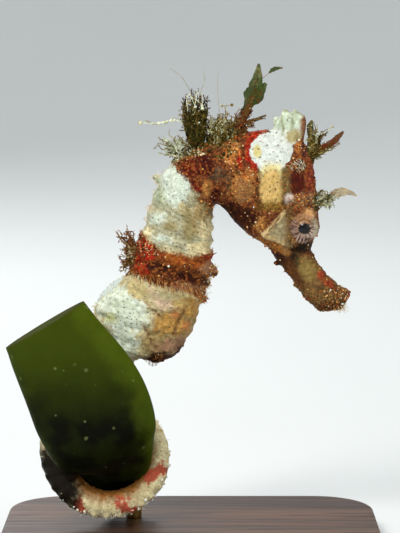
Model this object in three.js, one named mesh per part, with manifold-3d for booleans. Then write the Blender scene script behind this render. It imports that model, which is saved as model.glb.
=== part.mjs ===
// A still, life-size model of a seahorse that grips a short cut length of seaweed stalk with its tail,
// on a plain display stand. Millimetres, +Z up, the head towards +X, the animal's right side towards -Y.
// The origin is the centre of the stand's underside, and the animal's mid plane is y = 0.
import * as THREE from "three";
import { mergeVertices } from "three/addons/utils/BufferGeometryUtils.js";
import Module from "manifold-3d";

const wasm = await Module();
wasm.setup();
const { degToRad, lerp, clamp } = THREE.MathUtils;

// ---- Driving dimensions ----
const GAP = 0.3; // clearance between neighbouring pieces
const BODY_SIDES = 18;
const TAIL_SIDES = 10;

// Cross-sections of the body from the mouth to the root of the tail: the point on the back and the point
// on the belly, as [x, z] in the mid plane, and half of the width across.
const SNOUT = [
  { back: [31.6, 51.4], belly: [30.3, 49.6], half: 1.2 },
  { back: [31.2, 52.8], belly: [28.8, 48.8], half: 2.3 },
  { back: [29.8, 53.5], belly: [25.8, 48.7], half: 2.8 },
  { back: [27.9, 55.1], belly: [23.3, 50.9], half: 2.6 },
  { back: [26.2, 56.9], belly: [21.6, 53.3], half: 2.3 },
  { back: [24.7, 59.2], belly: [19.7, 56.0], half: 2.5 },
];
const HEAD = [
  { back: [24.2, 61.3], belly: [17.7, 58.4], half: 3.0 },
  { back: [24.4, 63.2], belly: [16.2, 60.6], half: 3.7 },
  { back: [25.0, 65.8], belly: [14.8, 61.9], half: 4.3 },
  { back: [25.3, 68.9], belly: [13.0, 63.2], half: 4.7 },
  { back: [24.7, 72.9], belly: [11.1, 64.4], half: 4.9 },
  { back: [24.2, 77.3], belly: [9.3, 66.0], half: 4.8 },
  { back: [23.3, 81.2], belly: [7.8, 67.7], half: 4.5 },
];
const NECK = [
  { back: [20.6, 84.0], belly: [6.8, 68.9], half: 4.2 },
  { back: [17.4, 84.7], belly: [6.1, 69.5], half: 4.0 },
  { back: [14.2, 84.9], belly: [5.6, 69.9], half: 3.9 },
  { back: [10.6, 84.3], belly: [5.2, 70.1], half: 4.0 },
  { back: [6.6, 83.2], belly: [4.9, 70.1], half: 4.2 },
  { back: [2.4, 82.0], belly: [4.7, 69.9], half: 4.4 },
  { back: [-1.4, 80.3], belly: [4.5, 69.4], half: 4.7 },
];
const TRUNK = [
  { back: [-4.4, 77.8], belly: [4.4, 68.6], half: 5.0 },
  { back: [-6.8, 73.7], belly: [4.3, 66.5], half: 5.4 },
  { back: [-8.5, 68.9], belly: [4.2, 63.3], half: 5.7 },
  { back: [-9.7, 64.6], belly: [4.1, 60.1], half: 5.9 },
  { back: [-11.2, 60.9], belly: [3.7, 56.9], half: 6.0 },
  { back: [-12.4, 56.8], belly: [2.9, 52.9], half: 6.1 },
  { back: [-15.6, 53.0], belly: [1.6, 49.3], half: 6.0 },
  { back: [-18.8, 50.4], belly: [0.8, 46.3], half: 5.7 },
  { back: [-19.6, 48.3], belly: [-1.0, 42.6], half: 5.1 },
  { back: [-19.5, 46.6], belly: [-3.6, 39.4], half: 4.6 },
  { back: [-19.1, 45.1], belly: [-6.5, 38.2], half: 4.2 },
  { back: [-18.4, 43.6], belly: [-9.6, 39.1], half: 3.9 },
];
const TRUNK_RINGS = { upper: 6, lower: 5 };
const TRUNK_CREST = 0.7;

// The tail runs down behind the stalk, then forward under it and up again in one tightening turn.
const TAIL_ROOT = [
  [-14.8, 0.2, 40.2],
  [-16.9, 1.0, 36.8],
  [-20.4, 2.2, 32.4],
  [-24.4, 3.0, 27.4],
];
const LOOP = { x: -16.7, z: 20.5, radius: 10.8, from: 178, step: 30, points: 10, tighten: 4.6 };
const LOOP_TILT = { lean: 0.4, shift: 1.4, tip: 1.2 };
const TAIL_THICK = { root: 3.8, tip: 0.5, power: 0.46 };
const TAIL_RINGS = 34;
const TAIL_CREST = 0.55;
const TAIL_LENGTHS = 6;

const EYE = { x: 22.4, z: 65.8, side: 3.3, radius: 2.4 };
const ORBIT = { x: 22.4, z: 66.1, side: 2.5, radius: 3.2 };

// The stalk: points [x, y, z, half of the width, half of the thickness], from its cut foot upwards.
const STALK = [
  [-12.2, 5.6, 7.8, 4.8, 3.2],
  [-13.6, 5.4, 11.0, 5.6, 3.0],
  [-16.4, 2.2, 15.2, 5.7, 2.7],
  [-16.1, -3.4, 18.6, 7.4, 2.7],
  [-17.4, -7.8, 22.6, 10.8, 3.3],
  [-19.2, -8.8, 29.4, 11.9, 4.0],
  [-22.4, -9.8, 36.4, 11.2, 4.0],
  [-26.2, -10.4, 43.4, 9.8, 3.8],
  [-28.6, -10.6, 47.4, 9.0, 3.6],
];
const BASE = { length: 76, width: 50, height: 5, corner: 12, edge: 0.6 };
const ROD = { x: -11.8, y: 5.6, radius: 1.6, into_stalk: 4 };

// ---- Solids from three.js geometry ----
function solidOf(geometry) {
  const bare = geometry.clone();
  for (const name of Object.keys(bare.attributes)) {
    if (name !== "position") bare.deleteAttribute(name);
  }
  const merged = mergeVertices(bare, 1e-4);
  const corners = new Uint32Array(merged.index.array);
  const solidWith = (triVerts) => new wasm.Manifold(new wasm.Mesh({
    numProp: 3,
    vertProperties: new Float32Array(merged.attributes.position.array),
    triVerts,
  }));
  const solid = solidWith(corners);
  return solid.volume() > 0 ? solid : solidWith(corners.reverse());
}

function geometryOf(solid) {
  const mesh = solid.getMesh();
  const geometry = new THREE.BufferGeometry();
  geometry.setAttribute("position", new THREE.BufferAttribute(mesh.vertProperties, 3));
  geometry.setIndex(new THREE.BufferAttribute(mesh.triVerts, 1));
  geometry.computeVertexNormals();
  return geometry;
}

// A closed cylinder whose rows are placed one by one: place(point, row 0..1, angle, share of the radius).
function loft(sides, steps, place) {
  const geometry = new THREE.CylinderGeometry(1, 1, 1, sides, steps);
  const position = geometry.attributes.position;
  const point = new THREE.Vector3();
  for (let i = 0; i < position.count; i++) {
    const [x, y, z] = [position.getX(i), position.getY(i), position.getZ(i)];
    place(point, 0.5 - y, Math.atan2(x, z), Math.hypot(x, z));
    position.setXYZ(i, point.x, point.y, point.z);
  }
  return solidOf(geometry);
}

const joined = (solids) => solids.reduce((all, next) => all.add(next));

// ---- The body ----
function tailSections() {
  const line = TAIL_ROOT.map((p) => new THREE.Vector3(...p));
  for (let i = 0; i < LOOP.points; i++) {
    const angle = degToRad(LOOP.from + LOOP.step * i);
    const late = Math.max(0, (i - 5) / (LOOP.points - 6));
    const radius = LOOP.radius - LOOP.tighten * late ** 1.3;
    const rise = radius * Math.sin(angle);
    const y = LOOP_TILT.lean * rise + LOOP_TILT.shift + LOOP_TILT.tip * late;
    line.push(new THREE.Vector3(LOOP.x + radius * Math.cos(angle), y, LOOP.z + rise));
  }
  const curve = new THREE.CatmullRomCurve3(line, false, "catmullrom", 0.5);
  return line.map((at, i) => {
    const t = i / (line.length - 1);
    const ahead = curve.getTangent(t);
    const up = new THREE.Vector3(0, 1, 0).cross(ahead).normalize();
    const half = lerp(TAIL_THICK.tip, TAIL_THICK.root, (1 - t) ** TAIL_THICK.power);
    return {
      back: at.clone().addScaledVector(up, half),
      belly: at.clone().addScaledVector(up, -half),
      half,
    };
  });
}

const flatSections = [...SNOUT, ...HEAD, ...NECK, ...TRUNK].map(({ back, belly, half }) => ({
  back: new THREE.Vector3(back[0], 0, back[1]),
  belly: new THREE.Vector3(belly[0], 0, belly[1]),
  half,
}));
const SECTIONS = [...flatSections, ...tailSections()];
const curveOf = (points) => new THREE.CatmullRomCurve3(points, false, "catmullrom", 0.5);
const backLine = curveOf(SECTIONS.map((s) => s.back));
const bellyLine = curveOf(SECTIONS.map((s) => s.belly));
const halfLine = curveOf(SECTIONS.map((s) => new THREE.Vector3(s.half, 0, 0)));

// Places along the body are numbered by section; the samples give the distance walked down the midline.
const LAST = SECTIONS.length - 1;
const SAMPLES = LAST * 30;
const midAt = (t) => backLine.getPoint(t).add(bellyLine.getPoint(t)).multiplyScalar(0.5);
const walked = [0];
for (let i = 1; i <= SAMPLES; i++) {
  walked.push(walked[i - 1] + midAt(i / SAMPLES).distanceTo(midAt((i - 1) / SAMPLES)));
}
const distanceTo = (section) => walked[Math.round((section / LAST) * SAMPLES)];
function placeAt(distance) {
  const next = clamp(walked.findIndex((d) => d >= distance), 1, SAMPLES);
  const share = (distance - walked[next - 1]) / (walked[next] - walked[next - 1]);
  return clamp((next - 1 + share) / SAMPLES, 0, 1);
}

// The trunk has seven ridges and the tail four; each is a swelling at its own angle from the back.
const TRUNK_RIDGES = [34, 90, 142, 180].map(degToRad);
const TAIL_RIDGES = [42, 138].map(degToRad);
const RIDGE_SPREAD = 0.24;
function ridge(angle, ridges) {
  const from = Math.abs(angle);
  return Math.max(...ridges.map((at) => Math.exp(-(((from - at) / RIDGE_SPREAD) ** 2))));
}

// A point of the surface; push moves the whole section along the body, and grow thickens it.
const axes = { up: new THREE.Vector3(), side: new THREE.Vector3(), ahead: new THREE.Vector3() };
function bodyPoint(point, t, angle, share, { crest = 0, grow = 0, push = 0, ridges = TRUNK_RIDGES }) {
  const back = backLine.getPoint(t);
  const belly = bellyLine.getPoint(t);
  const half = halfLine.getPoint(t).x;
  point.copy(back).add(belly).multiplyScalar(0.5);
  axes.up.copy(back).sub(belly);
  const deep = axes.up.length() / 2;
  axes.up.normalize();
  axes.ahead.copy(midAt(Math.min(1, t + 1e-3))).sub(midAt(Math.max(0, t - 1e-3))).normalize();
  axes.side.crossVectors(axes.ahead, axes.up).normalize();
  axes.ahead.crossVectors(axes.up, axes.side);
  const raised = crest * (0.3 + 0.7 * ridge(angle, ridges)) + grow;
  point.addScaledVector(axes.up, share * Math.cos(angle) * (deep + raised));
  point.addScaledVector(axes.side, share * Math.sin(angle) * (half + raised));
  point.addScaledVector(axes.ahead, push);
}

// A smooth length of the body between two distances from the mouth.
function smoothLength(from, to, spacing, grow = 0) {
  const steps = Math.max(3, Math.round((to - from) / spacing));
  return loft(BODY_SIDES, steps, (point, row, angle, share) => {
    const push = grow ? 0 : GAP / 2 * ((row === 0) - (row === 1));
    bodyPoint(point, placeAt(lerp(from, to, row)), angle, share, { grow, push });
  });
}

// A length of bony rings: each ring stands up as a crest between two grooves.
function ringedLength(from, to, rings, sides, crest, ridges, grow = 0) {
  const steps = rings * 2;
  return loft(sides, steps, (point, row, angle, share) => {
    const t = placeAt(lerp(from, to, row));
    const push = grow ? 0 : GAP / 2 * ((row === 0) - (row === 1));
    const small = clamp(halfLine.getPoint(t).x / 3, 0.25, 1);
    const raised = Math.round(row * steps) % 2 === 1 ? crest * small : 0;
    bodyPoint(point, t, angle, share, { crest: raised, grow, push, ridges });
  });
}

const HEAD_START = distanceTo(SNOUT.length - 0.8);
const TRUNK_START = distanceTo(SNOUT.length + HEAD.length + NECK.length);
const WAIST = distanceTo(flatSections.length - TRUNK.length + 5);
const TAIL_START = distanceTo(flatSections.length);
const BODY_END = walked[SAMPLES];

// ---- Rounded pieces ----
function ball(x, y, z, radius, sides = 14) {
  const geometry = new THREE.SphereGeometry(radius, sides, Math.round(sides * 0.6));
  geometry.rotateX(Math.PI / 2);
  geometry.translate(x, y, z);
  return solidOf(geometry);
}

// A tapering, closed tube through points [x, y, z, radius]; flat above 1 widens it into a blade.
function tube(points, { sides = 5, steps = 1, flat = 1 } = {}) {
  const line = curveOf(points.map(([x, y, z]) => new THREE.Vector3(x, y, z)));
  const ahead = new THREE.Vector3();
  const side = new THREE.Vector3();
  const up = new THREE.Vector3();
  return loft(sides, (points.length - 1) * steps, (point, row, angle, share) => {
    line.getPoint(row, point);
    line.getTangent(row, ahead);
    side.set(0, 1, 0).addScaledVector(ahead, -ahead.y);
    if (side.length() < 0.3) side.set(1, 0, 0).addScaledVector(ahead, -ahead.x);
    side.normalize();
    up.crossVectors(side, ahead);
    const place = row * (points.length - 1);
    const low = Math.min(Math.floor(place), points.length - 2);
    const radius = lerp(points[low][3], points[low + 1][3], place - low);
    point.addScaledVector(up, share * radius * flat * Math.cos(angle));
    point.addScaledVector(side, share * radius * Math.sin(angle));
  });
}

// ---- Finishes and named pieces ----
const finish = (color, roughness, metalness = 0) =>
  new THREE.MeshStandardMaterial({ color, roughness, metalness });
const finishes = {
  skin: finish(0xe2d6ae, 0.6),
  headSkin: finish(0xa8683a, 0.6),
  eye: finish(0x6b5a55, 0.15),
  fin: finish(0xcfc3a0, 0.5),
  growth: finish(0x6a5a2c, 0.8),
  stalk: finish(0x303a12, 0.45),
  base: finish(0x3a2a20, 0.5),
  rod: finish(0xb89a55, 0.3, 1),
};
const seahorse = new THREE.Group();
seahorse.name = "seahorse";

function addPiece(name, solid, finishName) {
  const mesh = new THREE.Mesh(geometryOf(solid), finishes[finishName]);
  mesh.name = name;
  seahorse.add(mesh);
}

const upperTrunk = (grow) =>
  ringedLength(TRUNK_START, WAIST, TRUNK_RINGS.upper, BODY_SIDES, TRUNK_CREST, TRUNK_RIDGES, grow);
const lowerTrunk = (grow) =>
  ringedLength(WAIST, TAIL_START, TRUNK_RINGS.lower, BODY_SIDES, TRUNK_CREST, TRUNK_RIDGES, grow);

// The whole body again, thicker by one gap, clears the root of everything that stands on the skin.
const clearance = joined([
  smoothLength(0, TRUNK_START, 1.6, GAP),
  upperTrunk(GAP),
  lowerTrunk(GAP),
  smoothLength(TAIL_START, TAIL_START + 6, 2, GAP),
]);
const onSkin = (solid) => solid.subtract(clearance);
const largest = (solid) => solid.decompose().sort((a, b) => b.volume() - a.volume())[0];

// Coronet: a column with five blunt points, leaning a little backwards.
const CORONET = { foot: [18.8, 80.4], top: [19.4, 89.4], root: 3.6, waist: 2.5, crown: 3.0 };
const CORONET_POINTS = { count: 5, depth: 0.2, rounding: 0.3 };
function coronetSolid() {
  return loft(20, 8, (point, row, angle, share) => {
    const rise = Math.max(0, (row - 0.5) / 0.5);
    const stem = lerp(CORONET.root, CORONET.waist, Math.min(1, row / 0.6));
    const top = Math.max(0, (row - 0.75) / 0.25);
    const radius = lerp(stem, CORONET.crown, rise) * (1 - CORONET_POINTS.rounding * top ** 2);
    const star = 1 + CORONET_POINTS.depth * rise * Math.cos(CORONET_POINTS.count * angle);
    const dish = row === 1 ? 0.7 * (1 - share) : 0;
    point.x = lerp(CORONET.foot[0], CORONET.top[0], row) + share * radius * star * Math.cos(angle);
    point.y = share * radius * star * 0.8 * Math.sin(angle);
    point.z = lerp(CORONET.foot[1], CORONET.top[1], row) - dish;
  });
}

const CORONET_CUT = { height: 84.2, lean: 0.12 };
const NECK_CUT = { x: 14.2, lean: -0.03 };

function addHeadAndNeck() {
  const spine = (x, y, z, dx, dy, dz) =>
    tube([[x - dx, y - dy, z - dz, 1.0], [x + dx, y + dy, z + dz, 0.25]]);
  const both = (make) => [-1, 1].map(make);
  const turrets = both((side) => ball(ORBIT.x, side * ORBIT.side, ORBIT.z, ORBIT.radius, 14));
  const cheeks = both((side) => {
    const cheek = new THREE.SphereGeometry(1, 12, 8);
    cheek.scale(2.8, 1.3, 3.6);
    cheek.translate(16.6, side * 3.7, 65.8);
    return solidOf(cheek);
  });
  const skull = smoothLength(HEAD_START, TRUNK_START, 2);
  const throat = spine(18.2, 0, 58.6, -1.4, 0, -0.4);
  const whole = joined([skull, coronetSolid(), ...turrets, ...cheeks, throat]);
  const crownNormal = new THREE.Vector3(CORONET_CUT.lean, 0, 1).normalize();
  const crownAt = CORONET_CUT.height * crownNormal.z + 19 * crownNormal.x;
  const neckNormal = new THREE.Vector3(1, 0, NECK_CUT.lean).normalize();
  const neckAt = NECK_CUT.x * neckNormal.x + 75 * neckNormal.z;
  const beyond = (solid, normal, at) => solid.trimByPlane(normal.toArray(), at + GAP / 2);
  const short = (solid, normal, at) => solid.trimByPlane(normal.clone().negate().toArray(), -at + GAP / 2);
  const headAll = beyond(whole, neckNormal, neckAt);
  const sockets = joined(both((side) => ball(EYE.x, side * EYE.side, EYE.z, EYE.radius + GAP)));
  addPiece("coronet", beyond(headAll, crownNormal, crownAt), "skin");
  addPiece("head", short(headAll, crownNormal, crownAt).subtract(sockets), "headSkin");
  addPiece("neck", short(whole, neckNormal, neckAt), "headSkin");
  addPiece("eye_right", ball(EYE.x, -EYE.side, EYE.z, EYE.radius), "eye");
  addPiece("eye_left", ball(EYE.x, EYE.side, EYE.z, EYE.radius), "eye");
  const chin = spine(21.9, 0, 54.0, -1.4, 0, -0.3);
  const barbel = spine(29.4, 0, 48.6, 0.8, 0, -1.6);
  addPiece("snout", joined([smoothLength(0, HEAD_START, 1.4), chin, barbel]), "headSkin");
}

// Tall tubercles on the edge of the trunk: root [x, z], tip [x, z] and radius at the root.
const BACK_KNOB = { root: [-5.4, 74.9], tip: [-8.0, 75.4], radius: 1.0 };
const UPPER_KEEL = { root: [2.4, 57.9], tip: [5.0, 55.9], radius: 1.2 };
const LOWER_KEEL = { root: [0.6, 51.6], tip: [3.3, 50.2], radius: 1.0 };
const knob = ({ root, tip, radius }) => {
  const at = (share, r) => [lerp(root[0], tip[0], share), 0, lerp(root[1], tip[1], share), r];
  return tube([at(0, radius), at(0.6, radius * 0.7), at(1, radius * 0.3)]);
};

function addTrunk() {
  addPiece("trunk_upper", joined([upperTrunk(0), knob(BACK_KNOB), knob(UPPER_KEEL)]), "skin");
  addPiece("trunk_lower", lowerTrunk(0).add(knob(LOWER_KEEL)), "skin");
}

function addTail() {
  const length = (BODY_END - TAIL_START) / TAIL_LENGTHS;
  const rings = Math.round(TAIL_RINGS / TAIL_LENGTHS);
  for (let i = 0; i < TAIL_LENGTHS; i++) {
    const from = TAIL_START + i * length;
    const solid = ringedLength(from, from + length, rings, TAIL_SIDES, TAIL_CREST, TAIL_RIDGES);
    addPiece(`tail_${i + 1}`, solid, "skin");
  }
}

// Fins: thin fans of an even thickness, standing on the skin.
const FIN_THICK = 0.55;
const DORSAL_FIN = { from: [-12.2, 55.2], to: [-18.6, 49.6], rise: 1.9, root: 1.4, rays: 9 };
const PECTORAL_FIN = { x: 13.6, side: 3.6, z: 73.6, radius: 5.6, spread: 74, droop: 184, flare: 24 };
const ANAL_FIN = { from: [-9.0, 39.2], to: [-6.2, 38.9], rise: 1.8, root: 0.6, rays: 4 };

// A plate in the mid plane, between a root under the skin and a scalloped outer edge.
function midFin({ from, to, rise, root, rays }) {
  const along = new THREE.Vector2(to[0] - from[0], to[1] - from[1]);
  const out = new THREE.Vector2(along.y, -along.x).normalize();
  const outline = new THREE.Shape();
  outline.moveTo(from[0] - out.x * root, from[1] - out.y * root);
  for (let i = 0; i <= rays * 2; i++) {
    const share = i / (rays * 2);
    const high = rise * (Math.sin(Math.PI * (0.12 + 0.8 * share)) ** 0.7 - 0.05 * (i % 2));
    outline.lineTo(from[0] + along.x * share + out.x * high, from[1] + along.y * share + out.y * high);
  }
  outline.lineTo(to[0] - out.x * root, to[1] - out.y * root);
  const plate = new THREE.ExtrudeGeometry(outline, { depth: FIN_THICK, bevelEnabled: false });
  plate.translate(0, 0, -FIN_THICK / 2);
  plate.rotateX(Math.PI / 2);
  return solidOf(plate);
}

function pectoralFin(side) {
  const { x, z, radius, spread, droop, flare } = PECTORAL_FIN;
  const outline = new THREE.Shape();
  const rays = 12;
  outline.moveTo(1.2, 0.6);
  outline.lineTo(1.2, -0.6);
  for (let i = 0; i <= rays; i++) {
    const angle = degToRad(droop + 0.5 * spread - (spread * i) / rays);
    const reach = radius * (1 - 0.04 * (i % 2));
    outline.lineTo(reach * Math.cos(angle), reach * Math.sin(angle));
  }
  const plate = new THREE.ExtrudeGeometry(outline, { depth: FIN_THICK, bevelEnabled: false });
  plate.translate(0, 0, -FIN_THICK / 2);
  plate.rotateX(Math.PI / 2);
  plate.rotateZ(degToRad(-side * flare));
  plate.translate(x, side * PECTORAL_FIN.side, z);
  return solidOf(plate);
}

function addFins() {
  addPiece("dorsal_fin", largest(onSkin(midFin(DORSAL_FIN))), "fin");
  const lowered = clearance.translate([0, 0, -GAP]);
  addPiece("anal_fin", largest(onSkin(midFin(ANAL_FIN)).subtract(lowered)), "fin");
  addPiece("pectoral_fin_right", largest(onSkin(pectoralFin(-1))), "fin");
  addPiece("pectoral_fin_left", largest(onSkin(pectoralFin(1))), "fin");
}

// Skin growths: each is a rounded foot [x, y, z, radius] on the skin and filaments that branch from it.
function addGrowth(name, foot, filaments, options) {
  const [x, y, z, radius] = foot;
  const branches = filaments.map((points) => tube([[x, y, z, points[0][3]], ...points], options));
  addPiece(name, largest(onSkin(joined([ball(x, y, z, radius, 8), ...branches]))), "growth");
}

function addGrowths() {
  addGrowth("tuft_neck", [1.2, 0, 82.2, 2.0], [
    [[0.6, -0.4, 86.6, 0.9], [-0.2, -0.6, 91.2, 0.6], [-0.6, -0.4, 93.9, 0.3]],
    [[2.2, 0.6, 86.8, 0.9], [2.4, 1.0, 91.0, 0.6], [2.9, 1.2, 93.6, 0.3]],
    [[-0.4, 1.0, 85.8, 0.7], [-1.8, 1.6, 89.8, 0.3]],
    [[3.0, -0.4, 88.6, 0.35], [2.6, -0.8, 92.6, 0.3], [2.4, -0.6, 96.6, 0.25]],
    [[-1.3, -0.8, 87.4, 0.4], [-1.2, -1.0, 94.6, 0.3], [-4.2, -1.0, 97.2, 0.25]],
    [[-1.6, 0.4, 86.8, 0.4], [-5.6, 0.2, 87.2, 0.35], [-10.0, 0, 86.3, 0.28]],
  ]);
  addGrowth("tuft_shoulder", [-2.6, 0, 80.2, 1.7], [
    [[-4.4, -0.8, 82.4, 0.5], [-8.0, -1.2, 84.6, 0.3]],
    [[-4.8, 0.4, 81.6, 0.5], [-7.6, 0.8, 82.4, 0.3]],
    [[-3.6, 1.2, 83.0, 0.5], [-4.8, 1.4, 85.4, 0.3]],
  ]);
  addGrowth("tuft_nape", [6.2, 0, 83.4, 1.9], [
    [[4.8, -1.0, 85.8, 0.7], [4.2, -1.4, 88.2, 0.35]],
    [[6.2, 0.8, 86.4, 0.7], [6.0, 1.0, 89.0, 0.3], [5.5, 1.0, 93.0, 0.25], [5.4, 0.8, 96.6, 0.25]],
    [[7.4, -0.8, 86.0, 0.6], [7.8, -1.0, 89.0, 0.35], [7.2, -1.0, 90.4, 0.3]],
    [[8.0, 1.0, 85.4, 0.6], [9.0, 1.4, 87.4, 0.35]],
  ]);
  addGrowth("frond_nape", [10.2, 0, 84.6, 1.2], [
    [[10.2, 0, 88.0, 0.6], [12.4, 0.2, 91.2, 0.55], [14.2, 0.2, 93.9, 0.5], [13.4, 0, 97.2, 0.3]],
    [[10.2, 0, 88.0, 0.5], [14.0, 0.1, 93.4, 0.4], [15.6, -0.4, 96.4, 0.35], [17.8, -0.6, 97.2, 0.25]],
  ], { flat: 1.8 });
  addGrowth("tuft_forehead", [24.0, 0, 80.2, 1.4], [
    [[24.2, -0.8, 83.6, 0.6], [23.6, -1.2, 87.0, 0.3]],
    [[25.8, 0, 81.2, 0.55], [28.4, 0.2, 82.8, 0.5], [30.4, 0.2, 85.0, 0.3]],
    [[25.4, 0.8, 82.6, 0.4], [26.4, 1.0, 84.6, 0.3], [27.8, 1.0, 85.2, 0.25]],
  ]);
  for (const [side, name, reach] of [[-1, "frond_brow_right", 1], [1, "frond_brow_left", 0.8]]) {
    const out = (x, y, z, r) => [25.0 + (x - 25.0) * reach, side * y, z, r];
    const leaf = [out(27.2, 2.0, 71.0, 1.0), out(29.2, 2.2, 71.8, 0.7), out(31.2, 2.4, 73.1, 0.5)];
    addGrowth(name, [25.0, side * 1.6, 70.6, 1.3], [
      [...leaf, out(32.8, 2.4, 72.4, 0.3)],
      [out(26.6, 2.4, 72.2, 0.5), out(27.0, 2.6, 73.6, 0.3)],
      [out(27.4, 2.4, 70.2, 0.5), out(28.8, 2.6, 69.8, 0.3)],
    ]);
  }
  addGrowth("growth_back", [-11.6, 0, 60.2, 1.6], [
    [[-13.0, -0.6, 63.6, 0.5], [-15.4, -0.8, 65.6, 0.3]],
    [[-12.6, 0.8, 64.0, 0.5], [-13.4, 1.0, 66.0, 0.3]],
    [[-13.6, 0, 58.6, 0.6], [-14.4, 0, 56.8, 0.3]],
  ]);
}

function addPerchAndStand() {
  const line = curveOf(STALK.map(([x, y, z]) => new THREE.Vector3(x, y, z)));
  const sizes = curveOf(STALK.map(([, , , wide, thick]) => new THREE.Vector3(wide, thick, 0)));
  const stalk = loft(16, 14, (point, row, angle, share) => {
    line.getPoint(row, point);
    const ahead = line.getTangent(row);
    const side = new THREE.Vector3(0, -1, 0).cross(ahead).normalize();
    const thickWay = new THREE.Vector3().crossVectors(ahead, side);
    const size = sizes.getPoint(row);
    point.addScaledVector(side, share * size.x * Math.cos(angle));
    point.addScaledVector(thickWay, share * size.y * Math.sin(angle));
  });
  const rod = (radius, from, to) => {
    const cylinder = new THREE.CylinderGeometry(radius, radius, to - from, 20);
    cylinder.rotateX(Math.PI / 2);
    cylinder.translate(ROD.x, ROD.y, (from + to) / 2);
    return solidOf(cylinder);
  };
  const rodTop = STALK[0][2] + ROD.into_stalk;
  addPiece("perch_stalk", stalk.subtract(rod(ROD.radius + GAP, 0, rodTop + GAP)), "stalk");
  addPiece("stand_rod", rod(ROD.radius, BASE.height + 0.05, rodTop), "rod");
  const outline = new THREE.Shape();
  const [w, d, r] = [BASE.length / 2 - BASE.edge, BASE.width / 2 - BASE.edge, BASE.corner - BASE.edge];
  outline.absarc(w - r, d - r, r, 0, Math.PI / 2);
  outline.absarc(-w + r, d - r, r, Math.PI / 2, Math.PI);
  outline.absarc(-w + r, -d + r, r, Math.PI, Math.PI * 1.5);
  outline.absarc(w - r, -d + r, r, Math.PI * 1.5, Math.PI * 2);
  const plate = new THREE.ExtrudeGeometry(outline, {
    depth: BASE.height - 2 * BASE.edge,
    bevelThickness: BASE.edge,
    bevelSize: BASE.edge,
    bevelSegments: 1,
    curveSegments: 5,
  });
  plate.translate(0, 0, BASE.edge);
  addPiece("stand_base", solidOf(plate), "base");
}

addHeadAndNeck();
addTrunk();
addTail();
addFins();
addGrowths();
addPerchAndStand();

export default seahorse;
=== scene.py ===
import math
import random

import bmesh
import bpy
import numpy as np
from mathutils import Matrix, Vector, kdtree, noise
from mathutils.bvhtree import BVHTree


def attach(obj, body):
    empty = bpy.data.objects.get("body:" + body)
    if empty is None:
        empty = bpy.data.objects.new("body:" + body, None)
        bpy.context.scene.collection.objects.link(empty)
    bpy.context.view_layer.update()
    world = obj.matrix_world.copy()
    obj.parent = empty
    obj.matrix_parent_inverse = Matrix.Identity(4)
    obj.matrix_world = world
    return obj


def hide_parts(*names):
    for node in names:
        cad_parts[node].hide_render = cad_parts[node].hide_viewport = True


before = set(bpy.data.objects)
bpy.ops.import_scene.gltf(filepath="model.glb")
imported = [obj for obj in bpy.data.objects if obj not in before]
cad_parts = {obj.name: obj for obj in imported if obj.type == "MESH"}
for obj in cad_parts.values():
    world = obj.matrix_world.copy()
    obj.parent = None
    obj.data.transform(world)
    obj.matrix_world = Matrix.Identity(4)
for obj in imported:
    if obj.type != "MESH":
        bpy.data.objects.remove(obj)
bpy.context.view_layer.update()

# ---- Studio: the camera, the floor and the lights ----
# The camera stands square to the animal's right side and a little above it. The floor is a wide, pale
# bowl with no edge in its sight. A large soft lamp hangs above, and smaller ones stand at the front
# left, the front right and behind.
VIEW_CENTRE = Vector((0.0018, 0.0, 0.0576))
VIEW_HEIGHT = 0.1066
VIEW_DISTANCE = 0.42
VIEW_RISE = math.radians(7)
SENSOR = 36.0


def placed(name, data):
    """A new object in the scene, at the origin."""
    made = bpy.data.objects.new(name, data)
    bpy.context.scene.collection.objects.link(made)
    return made


lens = bpy.data.cameras.new("camera")
lens.sensor_width = SENSOR
lens.lens = SENSOR * VIEW_DISTANCE / VIEW_HEIGHT
lens.clip_start = 0.01
camera = placed("camera", lens)
backwards = Vector((0, -math.cos(VIEW_RISE), math.sin(VIEW_RISE)))
camera.location = VIEW_CENTRE + backwards * VIEW_DISTANCE
camera.rotation_euler = (math.pi / 2 - VIEW_RISE, 0, 0)
bpy.context.scene.camera = camera
bpy.context.scene.view_settings.view_transform = "Standard"


def paint(red, green, blue):
    """A colour from its three display values, 0 to 255, by the standard display curve."""
    shares = [value / 255 for value in (red, green, blue)]
    linear = [s / 12.92 if s <= 0.04045 else ((s + 0.055) / 1.055) ** 2.4 for s in shares]
    return (*linear, 1.0)


def new_finish(name, roughness):
    finish = bpy.data.materials.new(name)
    finish.use_nodes = True
    shader = finish.node_tree.nodes["Principled BSDF"]
    shader.inputs["Roughness"].default_value = roughness
    return finish, finish.node_tree, shader


def feed(tree, node, inputs):
    """Gives a node its inputs, each as a value or as the socket that feeds it."""
    for key, value in inputs.items():
        if isinstance(value, bpy.types.NodeSocket):
            tree.links.new(value, node.inputs[key])
        else:
            node.inputs[key].default_value = value


def add(tree, kind, inputs=None, **settings):
    made = tree.nodes.new(kind)
    for key, value in settings.items():
        setattr(made, key, value)
    feed(tree, made, inputs or {})
    return made


def bumps(tree, height, distance, strength):
    inputs = {"Height": height, "Distance": distance, "Strength": strength}
    return add(tree, "ShaderNodeBump", inputs).outputs[0]


def maths(tree, operation, first, second=0.0, third=0.0):
    inputs = {0: first, 1: second, 2: third}
    return add(tree, "ShaderNodeMath", inputs, operation=operation).outputs[0]


def blend(tree, share, first, second, mode="MIX"):
    inputs = {0: share, 6: first, 7: second}
    return add(tree, "ShaderNodeMix", inputs, data_type="RGBA", blend_type=mode).outputs[2]


def between(tree, value, low, high, to_low=0.0, to_high=1.0):
    inputs = {"Value": value, "From Min": low, "From Max": high, "To Min": to_low, "To Max": to_high}
    return add(tree, "ShaderNodeMapRange", inputs, interpolation_type="SMOOTHSTEP").outputs[0]


def on_object(tree):
    """Where each point lies on the object, in metres."""
    return add(tree, "ShaderNodeTexCoord").outputs["Object"]


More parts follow.
